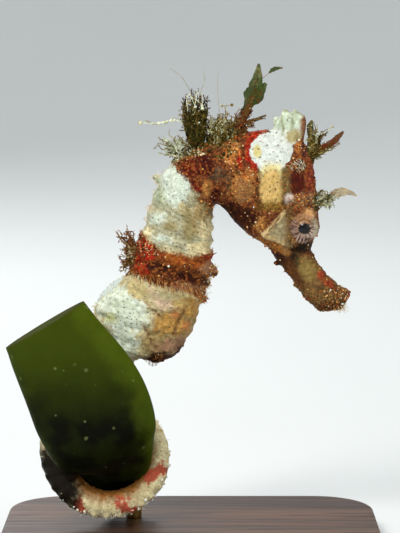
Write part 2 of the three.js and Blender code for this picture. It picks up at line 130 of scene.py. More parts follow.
def grain(tree, size, detail=3.0, rough=0.55, shift=0.0):
    """Cloudy noise over the object, 0 to 1, with blotches of about the size given in millimetres."""
    away = (shift, shift * 0.7, -shift)
    moved = add(tree, "ShaderNodeMapping", {"Vector": on_object(tree), "Location": away})
    inputs = {"Vector": moved.outputs[0], "Scale": 1000 / size, "Detail": detail, "Roughness": rough}
    return add(tree, "ShaderNodeTexNoise", inputs).outputs[0]


def scattered(tree, inputs, **settings):
    """Cells strewn at random: the distance from the nearest one's middle, and its three random tints."""
    cell = add(tree, "ShaderNodeTexVoronoi", inputs, **settings)
    tints = add(tree, "ShaderNodeSeparateColor", {"Color": cell.outputs["Color"]})
    return cell.outputs["Distance"], tints.outputs


def piece(name, shape, finish=None):
    """An object at the origin from a shape made in millimetres."""
    bmesh.ops.scale(shape, vec=(0.001, 0.001, 0.001), verts=shape.verts)
    mesh = bpy.data.meshes.new(name)
    shape.to_mesh(mesh)
    shape.free()
    mesh.shade_smooth()
    if finish:
        mesh.materials.append(finish)
    return placed(name, mesh)


def thicken(sheet, wall_thickness):
    wall = sheet.modifiers.new("wall", "SOLIDIFY")
    wall.thickness = wall_thickness
    wall.offset = 0


def round_edges(shape, edges, offset, segments):
    bmesh.ops.bevel(shape, geom=edges, offset=offset, offset_type="OFFSET", segments=segments, profile=0.5,
                    affect="EDGES", material=-1)


def soften(shape, factor):
    bmesh.ops.smooth_vert(shape, verts=shape.verts, factor=factor, use_axis_x=True, use_axis_y=True,
                          use_axis_z=True)


def finder_of(points):
    """A tree that finds the number of the point nearest to a place."""
    found = kdtree.KDTree(len(points))
    for number, point in enumerate(points):
        found.insert(point, number)
    found.balance()
    return found


FLOOR_DROP = 0.2
BOWL = [(0.0, 0.0), (300.0, 0.0), (600.0, 12.0), (900.0, 90.0), (1150.0, 300.0), (1300.0, 700.0)]
bowl = bmesh.new()
rim = [bowl.verts.new((reach, 0, height - FLOOR_DROP)) for reach, height in BOWL]
spokes = [bowl.edges.new(pair) for pair in zip(rim, rim[1:])]
bmesh.ops.spin(bowl, geom=rim + spokes, axis=(0, 0, 1), cent=(0, 0, 0), angle=2 * math.pi,
               steps=64, use_merge=True)
bmesh.ops.remove_doubles(bowl, verts=bowl.verts, dist=0.01)
bmesh.ops.recalc_face_normals(bowl, faces=bowl.faces)
floor_finish, tree, shader = new_finish("floor_paint", 0.85)
tone = blend(tree, grain(tree, 180.0), paint(224, 227, 226), paint(217, 221, 220))
feed(tree, shader, {"Base Color": tone})
floor = piece("floor", bowl, floor_finish)
smoothing = floor.modifiers.new("smooth", "SUBSURF")
smoothing.levels = smoothing.render_levels = 2


def lamp(name, place, size, power, tint):
    light = bpy.data.lights.new(name, "AREA")
    light.size = size
    light.energy = power
    light.color = tint
    made = placed(name, light)
    made.location = place
    aim = VIEW_CENTRE - Vector(place)
    made.rotation_euler = aim.to_track_quat("-Z", "Y").to_euler()


lamp("lamp_above", (0.0, 0.0, 1.0), 1.3, 3.4, (1.0, 1.0, 1.0))
lamp("lamp_main", (-0.22, -0.34, 0.44), 0.20, 2.2, (1.0, 0.98, 0.95))
lamp("lamp_fill", (0.42, -0.36, 0.20), 0.40, 0.5, (0.96, 0.98, 1.0))
lamp("lamp_back", (-0.16, 0.42, 0.36), 0.25, 1.1, (1.0, 1.0, 1.0))
world = bpy.data.worlds.new("studio_air")
world.use_nodes = True
air = world.node_tree.nodes["Background"]
air.inputs["Color"].default_value = (0.86, 0.89, 0.92, 1.0)
air.inputs["Strength"].default_value = 0.5
bpy.context.scene.world = world

# ---- Skin: the whole body in one piece, from the mouth to the tip of the tail ----
# Thin, tough skin stretched over bony rings. It is lofted through cross-sections of the body, joined
# with the coronet, orbits, gill covers and spines, and then worked like clay into one closed surface.
# Each section: the point of the back [x, z], the point of the belly [x, z] and half of the width.
SNOUT = [
    (31.6, 51.4, 30.3, 49.6, 1.2), (31.2, 52.8, 28.8, 48.8, 2.3), (29.8, 53.5, 25.8, 48.7, 2.8),
    (27.9, 55.1, 23.3, 50.9, 2.6), (26.2, 56.9, 21.6, 53.3, 2.3), (24.7, 59.2, 19.7, 56.0, 2.5),
]
HEAD = [
    (24.2, 61.3, 17.7, 58.4, 3.0), (24.4, 63.2, 16.2, 60.6, 3.7), (25.0, 65.8, 14.8, 61.9, 4.3),
    (25.3, 68.9, 13.0, 63.2, 4.7), (24.7, 72.9, 11.1, 64.4, 4.9), (24.2, 77.3, 9.3, 66.0, 4.8),
    (23.3, 81.2, 7.8, 67.7, 4.5),
]
NECK = [
    (20.6, 84.0, 6.8, 68.9, 4.2), (17.4, 84.7, 6.1, 69.5, 4.0), (14.2, 84.9, 5.6, 69.9, 3.9),
    (10.6, 84.3, 5.2, 70.1, 4.0), (6.6, 83.2, 4.9, 70.1, 4.2), (2.4, 82.0, 4.7, 69.9, 4.4),
    (-1.4, 80.3, 4.5, 69.4, 4.7),
]
TRUNK = [
    (-4.4, 77.8, 4.4, 68.6, 5.0), (-6.8, 73.7, 4.3, 66.5, 5.4), (-8.5, 68.9, 4.2, 63.3, 5.7),
    (-9.7, 64.6, 4.1, 60.1, 5.9), (-11.2, 60.9, 3.7, 56.9, 6.0), (-12.4, 56.8, 2.9, 52.9, 6.1),
    (-15.6, 53.0, 1.6, 49.3, 6.0), (-18.8, 50.4, 0.8, 46.3, 5.7), (-19.6, 48.3, -1.0, 42.6, 5.1),
    (-19.5, 46.6, -3.6, 39.4, 4.6), (-19.1, 45.1, -6.5, 38.2, 4.2), (-18.4, 43.6, -9.6, 39.1, 3.9),
]
TAIL_ROOT = [(-14.8, 0.2, 40.2), (-16.9, 1.0, 36.8), (-20.4, 2.2, 32.4), (-24.4, 3.0, 27.4)]
LOOP_X, LOOP_Z, LOOP_RADIUS, LOOP_FROM, LOOP_STEP, LOOP_POINTS = -16.7, 20.5, 10.8, 178, 30, 10
LOOP_TIGHTEN, LOOP_LEAN, LOOP_SHIFT, LOOP_TIP = 4.6, 0.4, 1.4, 1.2
TAIL_HALF, TIP_HALF, TAIL_POWER = 3.8, 0.5, 0.46
UPPER_RINGS, LOWER_RINGS, TAIL_RINGS = 6, 5, 36
TRUNK_CREST, TAIL_CREST = 0.7, 0.55
TRUNK_RIDGES = {34: 1.0, 90: 0.8, 142: 0.9, 180: 0.45}
TAIL_RIDGES = {42: 1.0, 138: 0.7}


def curve(points, share):
    """A smooth curve through the points, at each share of the way along it."""
    row = np.asarray(points, float)
    row = np.vstack([2 * row[0] - row[1], row, 2 * row[-1] - row[-2]])
    way = np.clip(share, 0, 1) * (len(row) - 3)
    start = np.minimum(way.astype(int), len(row) - 4)
    f = (way - start)[:, None]
    a, b, c, d = (row[start + k] for k in range(4))
    return 0.5 * (2 * b + (c - a) * f + (2 * a - 5 * b + 4 * c - d) * f**2 + (3 * b - 3 * c + d - a) * f**3)


def unit(rows):
    return rows / np.maximum(np.linalg.norm(rows, axis=-1, keepdims=True), 1e-9)


def tail_sections():
    turn = np.arange(LOOP_POINTS)
    angle = np.radians(LOOP_FROM + LOOP_STEP * turn)
    late = np.maximum(0, (turn - 5) / (LOOP_POINTS - 6))
    radius = LOOP_RADIUS - LOOP_TIGHTEN * late**1.3
    rise = radius * np.sin(angle)
    y = LOOP_LEAN * rise + LOOP_SHIFT + LOOP_TIP * late
    loop = np.stack([LOOP_X + radius * np.cos(angle), y, LOOP_Z + rise], axis=1)
    line = np.vstack([TAIL_ROOT, loop])
    share = np.linspace(0, 1, len(line))
    ahead = unit(curve(line, share + 1e-4) - curve(line, share - 1e-4))
    up = unit(np.cross((0, 1, 0), ahead))
    half = TIP_HALF + (TAIL_HALF - TIP_HALF) * (1 - share[:, None]) ** TAIL_POWER
    return np.hstack([line + up * half, line - up * half, half])


flat = np.array(SNOUT + HEAD + NECK + TRUNK)
none = np.zeros(len(flat))
body = np.stack([flat[:, 0], none, flat[:, 1], flat[:, 2], none, flat[:, 3], flat[:, 4]], axis=1)
SECTIONS = np.vstack([body, tail_sections()])
LAST = len(SECTIONS) - 1


def section(share):
    """The middle, the three directions and the two half sizes of the body's section at each share."""
    here = curve(SECTIONS, share)
    step = curve(SECTIONS, share + 1e-3) - curve(SECTIONS, share - 1e-3)
    middle = (here[:, :3] + here[:, 3:6]) / 2
    deep = np.linalg.norm(here[:, :3] - here[:, 3:6], axis=1) / 2
    up = unit(here[:, :3] - here[:, 3:6])
    side = unit(np.cross(unit(step[:, :3] + step[:, 3:6]), up))
    return middle, up, side, np.cross(up, side), deep, here[:, 6]


stations = np.linspace(0, 1, LAST * 30 + 1)
middles = section(stations)[0]
walked = np.concatenate([[0], np.cumsum(np.linalg.norm(np.diff(middles, axis=0), axis=1))])
BODY_LENGTH = walked[-1]
TRUNK_START = np.interp((len(SNOUT) + len(HEAD) + len(NECK)) / LAST, stations, walked)
WAIST = np.interp((len(flat) - len(TRUNK) + 5) / LAST, stations, walked)
TAIL_START = np.interp(len(flat) / LAST, stations, walked)
HEAD_START = np.interp((len(SNOUT) - 0.8) / LAST, stations, walked)


def rings_passed(distance):
    """How many bony rings lie above this place; the whole numbers are the grooves between them."""
    marks = [TRUNK_START, WAIST, TAIL_START, BODY_LENGTH]
    counts = [0, UPPER_RINGS, UPPER_RINGS + LOWER_RINGS, UPPER_RINGS + LOWER_RINGS + TAIL_RINGS]
    return np.interp(distance, marks, counts)


def ridged(turn, ridges, spread=0.24):
    """How far the ridges stand up at each turn from the back; each has its own angle and height."""
    away = {at: (np.abs(turn) - math.radians(at)) / spread for at in ridges}
    return np.max([high * np.exp(-away[at] ** 2) for at, high in ridges.items()], axis=0)


def swell(value, low, high):
    """0 below low, 1 above high, and smooth between."""
    s = np.clip((value - low) / (high - low), 0, 1)
    return s * s * (3 - 2 * s)


def rolled(rows, around, place):
    """A closed tube from a flat grid, whose short side is rolled round; place gives each point."""
    shape = bmesh.new()
    bmesh.ops.create_grid(shape, x_segments=rows, y_segments=around, size=0.5)
    spread = np.array([vert.co for vert in shape.verts])
    spots = place(spread[:, 0] + 0.5, spread[:, 1] * 2 * math.pi)
    for vert, spot in zip(shape.verts, spots):
        vert.co = spot
    bmesh.ops.remove_doubles(shape, verts=shape.verts, dist=1e-4)
    bmesh.ops.holes_fill(shape, edges=[edge for edge in shape.edges if edge.is_boundary])
    bmesh.ops.recalc_face_normals(shape, faces=shape.faces)
    return shape


def body_point(row, turn):
    distance = row * BODY_LENGTH
    share = np.interp(distance, walked, stations)
    middle, up, side, _, deep, half = section(share)
    passed = rings_passed(distance)
    crest = np.exp(-(((passed % 1 - 0.5) / 0.2) ** 2)) * (distance > TRUNK_START)
    on_tail = distance > TAIL_START
    small = np.clip(half / 3, 0.25, 1)
    ridge = np.where(on_tail, ridged(turn, TAIL_RIDGES), ridged(turn, TRUNK_RIDGES))
    high = np.where(on_tail, TAIL_CREST, TRUNK_CREST) * small
    high *= np.where(on_tail, 1.0, 1 - 0.5 * swell(distance, TRUNK_START + 16, TRUNK_START + 22))
    raised = crest * high * (0.3 + 0.7 * ridge) - 0.1 * small * (distance > TRUNK_START)
    reach = up * (np.cos(turn) * (deep + raised))[:, None]
    return middle + reach + side * (np.sin(turn) * (half + raised))[:, None]


def join(whole, part):
    mesh = bpy.data.meshes.new("part")
    part.to_mesh(mesh)
    part.free()
    whole.from_mesh(mesh)
    bpy.data.meshes.remove(mesh)


def ball(shape, place, radius, squash=(1, 1, 1), level=3):
    stretch = Matrix.Translation(place) @ Matrix.Diagonal((*squash, 1))
    bmesh.ops.create_icosphere(shape, subdivisions=level, radius=radius, matrix=stretch)


def tube(points, radii, rows=24, around=12, flat=1.0):
    """A closed, tapering tube along a smooth curve through the points."""
    def place(row, turn):
        ahead = unit(curve(points, row + 1e-3) - curve(points, row - 1e-3))
        side = np.where(np.abs(ahead[:, 1:2]) > 0.93, (1.0, 0.0, 0.0), (0.0, 1.0, 0.0))
        side = unit(side - ahead * np.sum(side * ahead, axis=1, keepdims=True))
        up = np.cross(side, ahead)
        marks = np.linspace(0, 1, len(radii))
        radius = np.interp(row, marks, radii)
        out = up * (np.cos(turn) * radius * flat)[:, None] + side * (np.sin(turn) * radius)[:, None]
        return curve(points, row) + out
    return rolled(rows, around, place)


EYE = Vector((22.4, 3.3, 65.8))
EYE_RADIUS, ORBIT_RADIUS = 2.4, 2.9
SKIN_ROWS, SKIN_AROUND, SKIN_VOXEL = 560, 80, 0.275
clay = rolled(SKIN_ROWS, SKIN_AROUND, body_point)
for side in (-1, 1):
    ball(clay, (22.4, side * 2.5, 66.05), 3.15)
    ball(clay, (16.6, side * 3.6, 65.8), 1.0, (2.7, 1.2, 3.4))
    ball(clay, (16.3, side * 3.9, 73.2), 1.0, (2.3, 1.35, 4.8))
    ball(clay, (10.4, side * 3.2, 74.0), 1.0, (2.7, 1.2, 3.2))
    ball(clay, (23.5, side * 3.7, 68.1), 1.25)
    ball(clay, (19.5, side * 4.4, 71.5), 1.15)

# The coronet's knobbly column, then the spines of the head and trunk and the coronet's blunt points.
ball(clay, (19.6, 0, 84.2), 1.0, (3.0, 2.3, 3.8))
ball(clay, (21.0, 0, 86.4), 1.0, (1.8, 1.8, 2.1))
ball(clay, (18.9, -0.6, 86.4), 1.0, (1.7, 1.5, 1.5))
for points, radii in [
    ([(19.6, 0, 59.0), (18.0, 0, 58.6), (16.8, 0, 58.2)], (1.0, 0.7, 0.2)),
    ([(23.3, 0, 54.3), (21.9, 0, 54.0), (20.5, 0, 53.7)], (1.0, 0.7, 0.2)),
    ([(-5.4, 0, 74.9), (-6.8, 0, 75.3), (-7.7, 0, 75.6)], (1.3, 0.8, 0.35)),
    ([(2.4, 0, 57.9), (4.0, 0, 56.7), (5.0, 0, 55.9)], (1.4, 1.1, 0.6)),
    ([(0.6, 0, 51.6), (2.0, 0, 50.9), (2.8, 0, 50.4)], (1.0, 0.8, 0.4)),
    ([(-0.8, 0, 47.4), (0.4, 0, 46.6), (1.1, 0, 46.1)], (1.3, 1.0, 0.5)),
    ([(-3.0, 0, 43.6), (-2.0, 0, 42.6), (-1.5, 0, 42.0)], (1.2, 1.0, 0.5)),
    ([(18.4, 0, 83.6), (17.4, 0, 86.2), (16.6, 0, 87.5)], (1.9, 1.3, 0.4)),
    ([(19.0, 0, 85.6), (18.9, 0, 87.6), (18.5, 0, 88.9)], (1.9, 1.2, 0.35)),
    ([(20.2, 0.5, 85.6), (20.6, 0.8, 87.6), (20.6, 0.9, 88.9)], (1.5, 0.9, 0.4)),
    ([(21.2, -0.5, 84.8), (21.9, -0.9, 86.8), (22.2, -1.1, 88.0)], (1.6, 1.0, 0.45)),
    ([(18.9, 1.0, 84.6), (18.7, 1.7, 86.5), (18.4, 2.2, 87.6)], (1.4, 0.8, 0.35)),
    ([(19.4, -1.0, 84.4), (19.5, -1.6, 86.2), (19.4, -1.9, 87.6)], (1.5, 0.9, 0.4)),
]:
    join(clay, tube(points, radii))

wet = bpy.data.meshes.new("clay")
clay.to_mesh(wet)
clay.free()
model = placed("clay", wet)
merging = model.modifiers.new("merge", "REMESH")
merging.mode = "VOXEL"
merging.voxel_size = SKIN_VOXEL
skin_mesh = bpy.data.meshes.new_from_object(model.evaluated_get(bpy.context.evaluated_depsgraph_get()))
bpy.data.objects.remove(model)
smooth = bmesh.new()
smooth.from_mesh(skin_mesh)
for _ in range(2):
    soften(smooth, 0.5)
smooth.to_mesh(skin_mesh)
smooth.free()

count = len(skin_mesh.vertices)
at = np.zeros(count * 3)
skin_mesh.vertices.foreach_get("co", at)
at = at.reshape(-1, 3)
out = np.zeros(count * 3)
skin_mesh.vertices.foreach_get("normal", out)
out = out.reshape(-1, 3)

# Where each point lies on the body: the distance from the mouth and the turn from the back.
row_count, turn_count = 800, 32
rows = np.repeat(np.linspace(0, 1, row_count), turn_count)
turns = np.tile(np.linspace(-math.pi, math.pi, turn_count, endpoint=False), row_count)
marks = body_point(rows, turns)
finder = finder_of(marks)
nearest = np.array([finder.find(spot)[1] for spot in at])
share = np.interp(rows[nearest] * BODY_LENGTH, walked, stations)
middle, up, side, ahead, deep, half = section(share)
distance = rows[nearest] * BODY_LENGTH + np.sum((at - marks[nearest]) * ahead, axis=1) * 0.8
offset = at - middle
turn = np.arctan2(np.sum(offset * side, axis=1) / half, np.sum(offset * up, axis=1) / deep)
x, y, z = at.T
flank = np.abs(y)


def lumps(size, seed=0.0, octaves=3):
    """Cloudy noise at every point of the skin, about -1 to 1."""
    away = Vector((seed, seed * 1.7, -seed))
    return np.array([noise.fractal(Vector(p) / size + away, 0.8, 2.0, octaves) for p in at])


def blot(*spots):
    """Signed distance into the nearest of some ovals: x, z, half sizes and tilt in degrees."""
    inside = []
    for cx, cz, rx, rz, tilt in spots:
        c, s = math.cos(math.radians(tilt)), math.sin(math.radians(tilt))
        along, across = (x - cx) * c + (z - cz) * s, (z - cz) * c - (x - cx) * s
        inside.append((1 - np.hypot(along / rx, across / rz)) * min(rx, rz))
    return np.max(inside, axis=0)


def off_line(x0, z0, x1, z1):
    """Distance of every point from a line between two points of the side view."""
    way = np.array([x1 - x0, z1 - z0])
    share = np.clip(((x - x0) * way[0] + (z - z0) * way[1]) / way.dot(way), 0, 1)
    return np.hypot(x - x0 - share * way[0], z - z0 - share * way[1])


def fold(x0, z0, x1, z1, wide):
    """A soft line between two points of the side view, 1 on it and 0 away from it."""
    return np.exp(-((off_line(x0, z0, x1, z1) / wide) ** 2))


passed = rings_passed(distance)
on_trunk = swell(distance, TRUNK_START - 1, TRUNK_START + 2)
on_trunk *= 1 - swell(distance, TAIL_START, TAIL_START + 2)
on_tail = swell(distance, TAIL_START - 1, TAIL_START + 1)
on_head = 1 - swell(distance, TRUNK_START - 3, TRUNK_START)
on_side = swell(flank, 1.2, 2.6)
crest = np.exp(-(((passed % 1 - 0.5) / 0.16) ** 2))
small = np.clip(half / 3, 0.25, 1)
from_eye = np.hypot(x - EYE.x, z - EYE.z)
eye_turn = np.arctan2(z - EYE.z, x - EYE.x)
on_orbit = swell(flank, 2.4, 3.6) * on_head
band_top = np.interp(x, (-13, -9.8, -6.2, -0.2, 4.2, 6.5), (65.2, 64.3, 61.4, 60.0, 60.4, 61.0))
band_low = np.interp(x, (-13, -11.8, -7.2, -1.2, 3.2, 6.5), (57.2, 56.8, 54.9, 53.7, 50.8, 50.4))
in_band = np.minimum(band_top - z, z - band_low)

# Markings, from the lowest coat of paint to the highest. Each has two tones that run into each other,
# the softness and raggedness of its edge in mm, and the places it covers on both sides of the body.
# A marking is pale, and so smooth and pored, if its second tone adds up to more than PALE_FROM.
PALE_FROM = 320
MARKINGS = {
    "sleeve": ((200, 190, 148), (180, 164, 118), 0.5, 0.8, np.full(count, 2.0)),
    "shade": ((176, 152, 102), (148, 124, 78), 0.9, 2.4, blot(
        (2.6, 69.4, 2.2, 2.8, 0), (0.4, 66.4, 1.0, 2.6, 10), (-1.4, 46.6, 3.6, 4.8, 15),
        (-7.0, 42.6, 2.8, 3.2, 20))),
    "cream": ((190, 186, 156), (162, 156, 120), 0.9, 2.4, blot(
        (-5.4, 66.4, 4.4, 5.2, 15), (-0.2, 72.0, 1.8, 2.0, 0), (0.2, 62.4, 4.2, 2.0, 0))),
    "bright_rim": ((234, 220, 172), (212, 192, 142), 0.5, 1.2, blot(
        (2.2, 61.7, 3.2, 1.4, 0), (3.2, 65.4, 1.4, 2.2, 0), (-3.2, 61.2, 2.4, 0.6, -20),
        (-8.4, 64.0, 0.8, 1.6, 0))),
    "olive": ((150, 138, 92), (162, 148, 104), 0.5, 1.0, blot(
        (-0.8, 68.6, 0.9, 1.6, 0), (-4.0, 66.3, 1.3, 0.9, 0), (-0.4, 65.0, 1.1, 2.0, 20),
        (3.0, 70.4, 0.9, 1.5, 0))),
    "yellow": ((196, 154, 82), (166, 120, 58), 1.0, 2.8, blot(
        (-4.0, 46.6, 3.4, 2.6, -10), (-0.2, 50.0, 2.4, 2.4, -20), (-5.0, 48.0, 1.6, 1.4, 0))),
    "apricot": ((196, 130, 70), (180, 112, 66), 0.6, 1.2, blot(
        (-3.0, 48.6, 1.0, 0.8, 0), (-0.8, 46.0, 0.9, 1.0, 0), (-14.4, 47.2, 1.0, 0.9, 0))),
    "pink": ((214, 188, 158), (186, 156, 126), 0.8, 2.2, blot(
        (-5.4, 50.8, 1.9, 1.3, -20), (-8.4, 53.4, 1.4, 0.7, -30))),
    "underside": ((162, 124, 92), (138, 106, 78), 0.9, 2.2, blot((-3.4, 42.0, 3.8, 1.8, 8))),
    "white": ((222, 229, 212), (202, 210, 182), 0.8, 2.6, blot(
        (-13.6, 49.4, 5.6, 4.3, -30), (-13.2, 43.2, 2.8, 3.2, 0))),
    "milk": ((214, 222, 208), (190, 200, 178), 0.6, 1.8, blot(
        (-3.2, 74.3, 3.4, 4.0, -20), (-6.6, 67.6, 1.6, 1.0, 20), (-5.8, 63.6, 1.5, 0.7, -10))),
    "back_shade": ((172, 182, 150), (146, 154, 124), 0.8, 1.4, blot((-7.2, 73.4, 1.5, 3.6, 30))),
    # Painted shade: a darker patch along the upper trunk's front edge.
    "trunk_front_shade": ((120, 88, 48), (104, 84, 48), 0.4, 3.0, blot(
        (2.2, 72.6, 1.0, 2.6, 15), (3.4, 69.4, 0.6, 1.6, 0))),
    "lime": ((208, 214, 150), (214, 212, 160), 0.7, 0.9, blot((-16.0, 47.8, 1.3, 1.0, 0))),
    "saddle": ((124, 66, 28), (88, 46, 20), 0.4, 2.0, in_band),
    "saddle_orange": ((168, 92, 34), (142, 66, 26), 0.5, 1.8, np.minimum(in_band + 0.2, blot(
        (-2.4, 59.7, 3.8, 1.2, -8), (2.6, 58.8, 1.8, 1.4, 0)))),
    "saddle_red": ((176, 34, 16), (140, 42, 20), 0.4, 1.8, np.minimum(in_band + 0.4, blot(
        (-9.4, 61.0, 2.2, 3.0, 25), (-9.8, 57.8, 1.6, 1.3, 0), (3.4, 59.8, 1.0, 0.6, 0)))),
    "saddle_dark": ((66, 24, 8), (42, 16, 5), 0.5, 2.2, np.minimum(in_band + 0.3, blot(
        (-6.4, 58.2, 2.6, 0.9, -15), (0.2, 55.6, 3.8, 1.1, -20), (2.6, 52.6, 1.2, 1.8, 0),
        (-11.9, 60.5, 0.8, 3.0, 0)))),
    # Painted shade: darker lines along the three slanting folds of the lower trunk, in their grooves.
    "creases": ((136, 104, 70), (112, 84, 56), 0.35, 0.8, np.maximum.reduce([
        0.15 - off_line(-12.4, 55.0, -5.5, 47.6), 0.25 - off_line(-9.5, 46.5, -6.9, 41.4),
        0.2 - off_line(-1.2, 49.6, -3.6, 44.6)])),
    "saddle_foot": ((142, 98, 62), (170, 122, 88), 0.6, 2.0, blot(
        (-0.4, 53.9, 3.2, 0.9, -14), (3.4, 57.4, 1.5, 1.6, 0))),
    "under_saddle": ((204, 190, 136), (184, 162, 112), 0.4, 1.4, blot(
        (-10.6, 53.6, 2.2, 1.8, -30), (-1.6, 52.8, 2.4, 0.4, -14))),
    "belly_dark": ((62, 32, 18), (34, 18, 10), 0.7, 1.8, blot(
        (-5.8, 37.8, 5.2, 2.8, 0), (-1.8, 40.6, 1.6, 1.4, 40))),
    "tail_cream": ((236, 222, 178), (214, 198, 148), 0.6, 1.4, on_tail * 4 - 2),
    # The belly side of the tail: browner skin, with painted shade laid over it along the inside of the loop.
    "tail_belly_side_and_shade": ((158, 104, 48), (118, 76, 34), 1.3, 1.8, on_tail * 4 - 4 + (np.abs(turn) - 1.9) * 2.2),
    "tail_red": ((198, 88, 64), (176, 88, 62), 0.4, 2.8, blot(
        (-6.6, 16.6, 1.7, 1.5, 0), (-8.2, 15.4, 1.2, 1.0, 0), (-13.4, 10.2, 2.0, 1.3, -30),
        (-11.6, 8.8, 1.4, 0.9, -20), (-22.4, 9.6, 1.3, 1.8, 0), (-20.0, 34.0, 2.2, 1.4, 0))),
    # Painted shadow: the left part of the tail's loop, painted near-black for the shade it lies in.
    "tail_loop_shadow": ((30, 23, 11), (18, 15, 7), 1.6, 2.2, blot((-27.4, 14.2, 5.0, 7.7, 20))),
    "collar": ((124, 68, 36), (88, 46, 24), 0.4, 1.8, TRUNK_START - 0.6 - distance),
    "tan": ((198, 142, 74), (160, 104, 50), 0.7, 1.8, blot(
        (10.0, 74.0, 2.7, 3.0, 0), (3.2, 73.4, 1.4, 1.6, 0), (13.6, 66.6, 1.2, 1.4, -40),
        (11.4, 67.4, 1.2, 0.8, 30))),
    "dusk": ((108, 80, 58), (78, 56, 36), 0.6, 1.2, blot((5.2, 76.4, 1.7, 1.6, 0), (7.4, 75.0, 0.7, 1.6, 0))),
    "amber": ((214, 142, 74), (176, 98, 42), 0.5, 1.4, blot(
        (8.2, 80.6, 1.7, 2.6, 0), (11.6, 76.4, 1.7, 1.1, 20), (20.9, 71.2, 1.2, 1.4, 0),
        (21.6, 82.0, 0.9, 1.6, 0))),
    "tan_fold": ((204, 176, 112), (184, 152, 92), 0.6, 1.4, blot((-2.0, 50.9, 1.5, 0.9, -20))),
    "moss": ((112, 90, 46), (86, 66, 34), 0.5, 1.4,
             blot((5.8, 82.8, 2.8, 1.2, 0), (-0.8, 80.8, 1.8, 1.2, 0))),
    "scarlet": ((178, 34, 16), (142, 42, 20), 0.3, 1.4, blot(
        (11.9, 81.8, 1.2, 3.6, -8), (10.8, 84.6, 3.2, 0.9, 0), (12.6, 78.4, 1.2, 1.6, 0),
        (9.6, 78.6, 0.8, 1.6, 20))),
    "brick": ((106, 26, 10), (80, 26, 12), 0.5, 1.8,
              blot((0.2, 77.3, 1.9, 1.8, 0), (1.0, 74.0, 1.2, 1.2, 0))),
    "wine": ((88, 26, 12), (58, 18, 8), 0.5, 1.6, blot(
        (2.9, 78.4, 2.0, 2.5, 0), (20.9, 74.6, 1.7, 2.7, 0), (4.6, 72.2, 1.1, 2.0, 0))),
    "plum": ((70, 38, 44), (86, 46, 38), 0.5, 0.9, blot((22.4, 81.3, 0.9, 1.5, 0))),
    "throat": ((56, 20, 7), (34, 12, 5), 0.7, 1.4, blot(
        (9.0, 67.9, 3.8, 2.4, -38), (12.2, 68.0, 1.2, 2.0, 0), (17.6, 59.0, 2.2, 2.0, 0))),
    "russet": ((152, 64, 42), (122, 54, 34), 0.4, 1.0,
               blot((23.7, 75.6, 0.9, 4.8, -4), (24.4, 70.6, 0.8, 1.0, 0))),
    # Painted shade: a dark brown line in the groove along the rear edge of the pale strip on the head.
    "strip_groove_shade": ((88, 52, 24), (108, 64, 30), 0.3, 0.8, 0.55 - off_line(13.6, 77.4, 13.2, 69.4)),
    "chalk": ((224, 228, 220), (212, 217, 206), 0.14, 0.8, blot(
        (15.9, 80.9, 4.3, 3.5, 0), (15.7, 78.4, 2.9, 1.7, 0), (19.0, 87.0, 3.7, 5.2, 0))),
    "coronet_tips": ((210, 221, 196), (186, 200, 172), 0.8, 1.6, blot((18.8, 88.6, 5.0, 3.6, 0))),
    "coronet_edge": ((116, 66, 40), (148, 104, 74), 0.5, 0.9, blot((22.8, 85.4, 1.35, 3.2, 0))),
    "coronet_beige": ((190, 178, 128), (166, 148, 100), 0.6, 1.1, blot((20.4, 83.8, 1.5, 1.3, 0))),
    # Painted shade: grey lines in the folds between the coronet's points and along its top.
    "coronet_fold_shade": ((146, 150, 112), (170, 174, 140), 0.3, 0.8, np.maximum.reduce([
        0.22 - off_line(18.2, 84.2, 18.0, 87.6), 0.2 - off_line(19.9, 84.8, 20.2, 88.0),
        0.3 - off_line(18.4, 88.9, 22.2, 88.2)])),
    "lemon": ((212, 198, 126), (220, 206, 144), 0.3, 0.3, blot((13.1, 80.9, 0.8, 1.25, 0))),
    "butter": ((230, 218, 156), (216, 198, 130), 0.9, 0.7, blot((16.0, 76.6, 2.3, 2.0, 0))),
    "sand": ((218, 184, 116), (200, 164, 94), 0.4, 0.6, blot((15.9, 73.5, 2.35, 3.9, 0))),
    "ochre": ((150, 116, 44), (120, 88, 30), 0.8, 0.7, blot((16.0, 70.2, 2.3, 0.9, 0))),
    "strip_shade": ((132, 112, 66), (106, 84, 46), 0.7, 0.6, 0.8 - off_line(18.6, 76.8, 18.8, 71.6)),
    "pearl": ((200, 186, 176), (176, 158, 146), 0.3, 0.3, blot((19.4, 71.5, 1.0, 1.2, 0))),
    "gill": ((184, 170, 130), (144, 130, 92), 0.7, 1.6, blot(
        (17.5, 66.0, 3.0, 1.35, 52), (17.4, 63.8, 2.6, 0.9, -16), (17.9, 65.0, 1.3, 1.5, 0))),
    "gill_edge": ((212, 188, 138), (174, 142, 90), 0.4, 0.9, np.maximum(
        0.34 - off_line(18.6, 69.1, 14.6, 64.6), 0.5 - off_line(14.5, 64.3, 19.8, 62.2))),
    "gill_margin": ((170, 110, 46), (140, 86, 36), 0.4, 0.9, 0.8 - off_line(13.9, 63.2, 19.8, 60.8)),
    # Painted shade: a thin dark line in the groove across the gill cover.
    "gill_groove_shade": ((64, 50, 34), (84, 66, 44), 0.12, 0.15, 0.1 - off_line(15.4, 65.2, 17.6, 68.1)),
    "gill_shade": ((146, 124, 84), (128, 112, 82), 0.9, 1.2, blot((19.0, 65.2, 0.9, 3.2, 0))),
    # Painted shadow: a brown band in the groove behind the eye's orbit.
    "orbit_rear_shadow": ((128, 96, 54), (92, 66, 36), 0.7, 1.4, 0.8 - off_line(19.7, 70.2, 19.8, 62.6)),
    "umber": ((24, 16, 7), (38, 23, 10), 0.6, 0.9,
              blot((22.2, 61.6, 2.6, 1.3, 8), (20.8, 59.1, 1.2, 2.0, 25))),
    "muzzle": ((122, 92, 50), (94, 66, 36), 0.6, 1.4, HEAD_START - 0.2 - distance),
